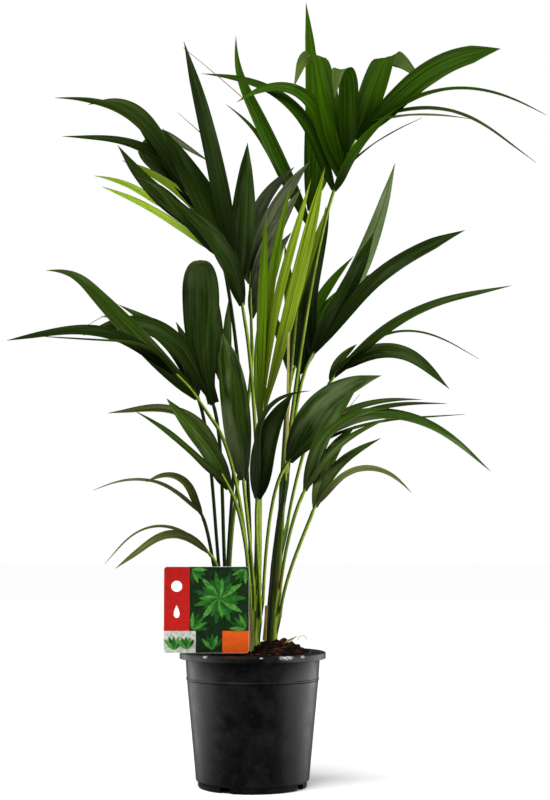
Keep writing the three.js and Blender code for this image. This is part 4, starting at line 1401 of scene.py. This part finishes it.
def card_leg():
    """Corners of the card's pointed leg, which stands in the soil."""
    left = CARD_LEG["x"] - CARD_LEG["wide"] / 2
    right = CARD_LEG["x"] + CARD_LEG["wide"] / 2
    top = CARD["bottom"] + 1
    shoulder = CARD_LEG["deep"] + CARD_LEG["point"]
    point = (CARD_LEG["x"], CARD_LEG["deep"])
    return [(left, top), (left, shoulder), point, (right, shoulder), (right, top)]


def make_blocks(face):
    """The blocks of colour that the card's print is laid out in."""
    green = print_ink("green_ink", "#0d2a0a", "#071a05")
    grey = print_ink("grey_ink", "#b4b8ae", "#8f958a")
    red = print_ink("red_ink", "#a80f08", "#9c0c06")
    orange = print_ink("orange_ink", "#cc5206", "#c24b04")
    near = CARD["left"] + PRINT_INSET
    far = CARD["right"] - PRINT_INSET
    low = CARD["bottom"] + PRINT_INSET
    high = CARD["top"] - PRINT_INSET
    side = CARD["left"] + SIDE_BAND
    foot = CARD["bottom"] + FOOT_BAND
    grey_end = CARD["left"] + GREY_BLOCK
    orange_start = CARD["right"] - ORANGE_BLOCK
    return [
        printed("red_block", block(near, side, foot, high), face, red),
        printed("green_block", block(side, far, foot, high), face, green),
        printed("grey_block", block(near, grey_end, low, foot), face, grey),
        printed("dark_block", block(grey_end, orange_start, low, foot), face, green),
        printed("orange_block", block(orange_start, far, low, foot), face, orange),
    ]


def make_printed_leaves(face):
    """The card's rosette of leaves and its sprigs of five, each leaf just in front of the one before."""
    inks = [
        print_ink("leaf_ink_bright", "#226414", "#184c0e"),
        print_ink("leaf_ink_mid", "#17501a", "#0f3a10"),
        print_ink("leaf_ink_light", "#468430", "#2f661e"),
    ]
    pieces = []
    for leaf in range(ROSETTE["leaves"]):
        length = ROSETTE["long"] - 9 * (leaf % 2)
        corners = leaf_figure(ROSETTE["x"], ROSETTE["z"], length, 7.5, ROSETTE["turn"] * leaf)
        pieces.append(printed("leaf", corners, face - PRINT_STEP - LEAF_STEP * leaf, inks[leaf % 3]))
    for x, z, middle, length in SPRIGS:
        for leaf in range(5):
            corners = leaf_figure(x, z, length, 5, middle + (leaf - 2) * 21)
            front = face - SPRIG_STEP - LEAF_STEP * leaf
            pieces.append(printed("leaf", corners, front, inks[(leaf + 1) % 3]))
    return pieces


def make_signs(face):
    """The card's two signs in white: a sun and a drop."""
    white = print_ink("white_ink", "#f2efe8", "#f2efe8")
    middle = CARD["left"] + SIDE_BAND / 2
    turns = [step * math.tau / 24 for step in range(24)]
    sun = [(middle + 7 * math.cos(turn), 258 + 7 * math.sin(turn)) for turn in turns]
    drop = [
        (middle + 5 * math.sin(turn) * math.sin(turn / 2) ** 1.2, 226 + 8 * math.cos(turn))
        for turn in turns]
    front = face - PRINT_STEP
    return [printed("sun", sun, front, white), printed("drop", drop, front, white)]


def make_card():
    """A laminated care card on a leg, pale, with a print of colour blocks, leaves, a sun and a drop."""
    left, right, bottom, top, front, thick, corner = (
        CARD[part] for part in ("left", "right", "bottom", "top", "front", "thick", "corner"))
    pale = print_ink("laminated_card", "#dcdcd4", "#cfd0c6")
    soiled = print_ink("soiled_card_leg", "#2a241c", "#1c1711")
    face = front - thick / 2
    pieces = [
        rounded_plate("card_body", left, right, bottom, top, corner, thick, front, pale),
        printed("card_leg", card_leg(), front, soiled),
        *make_blocks(face),
        *make_printed_leaves(face),
        *make_signs(face),
    ]
    return settle(join(pieces, "care_card"), "card_print", "plant_card")


make_pot()
peat_material = peat()
make_soil(peat_material)
make_crumbs(peat_material, BARK_CRUMB)
make_root_threads(ROOT_THREAD)
make_card()


# ------------------------------------------------------------------ floor, light and camera
def area_light(name, place, aim, size, watts, gloss_only=False):
    """A soft rectangular lamp. One that is gloss_only shows in reflections and lights nothing."""
    deselect()
    bpy.ops.object.light_add(type="AREA", location=place)
    light = active()
    light.name = name
    light.data.shape = "RECTANGLE"
    light.data.size, light.data.size_y = size
    light.data.energy = watts
    light.visible_diffuse = not gloss_only
    light.rotation_euler = (Vector(aim) - Vector(place)).to_track_quat("-Z", "Y").to_euler()


deselect()
bpy.ops.mesh.primitive_plane_add(size=30, location=(0, 0, -0.0005))
floor = active()
floor.name = "studio_floor"
floor.data.materials.append(studio_paper())
# A white floor in its reflections would wash the black pot out.
floor.visible_glossy = False

# The studio is white behind the palm and lights it more softly than that.
world = bpy.data.worlds.new("white_studio")
bpy.context.scene.world = world
bpy.context.scene.view_settings.view_transform = "Standard"
world.use_nodes = True
sky = world.node_tree.nodes["Background"]
sky.inputs["Color"].default_value = (1, 1, 1, 1)
seen = world.node_tree.nodes.new("ShaderNodeLightPath").outputs["Is Camera Ray"]
strength = world.node_tree.nodes.new("ShaderNodeMapRange")
strength.inputs["To Min"].default_value = FILL_LIGHT
strength.inputs["To Max"].default_value = 1.0
world.node_tree.links.new(seen, strength.inputs["Value"])
world.node_tree.links.new(strength.outputs[0], sky.inputs["Strength"])

area_light("left_softbox", (-1.5, -0.1, 0.9), (0, 0, 0.6), (0.6, 2.0), 20)
area_light("right_softbox", (1.4, -0.5, 0.9), (0, 0, 0.5), (0.6, 2.0), 22)
# These two give the soft bands down the sides of the pot.
area_light("left_gloss_strip", (-1.2, 0.25, 0.1), (0, 0, 0.1), (2.0, 0.8), 22, gloss_only=True)
area_light("right_gloss_strip", (1.2, 0.15, 0.1), (0, 0, 0.1), (2.2, 0.8), 34, gloss_only=True)

deselect()
bpy.ops.object.light_add(type="SUN", rotation=(math.radians(38), 0, math.radians(-28)))
overhead = active()
overhead.name = "overhead_light"
overhead.data.energy = 3.5
overhead.data.angle = math.radians(55)

deselect()
bpy.ops.object.camera_add(location=CAMERA_PLACE, rotation=(math.radians(90 + CAMERA_PITCH), 0, 0))
camera = active()
camera.data.lens = LENS
camera.data.sensor_width = 36
bpy.context.scene.camera = camera
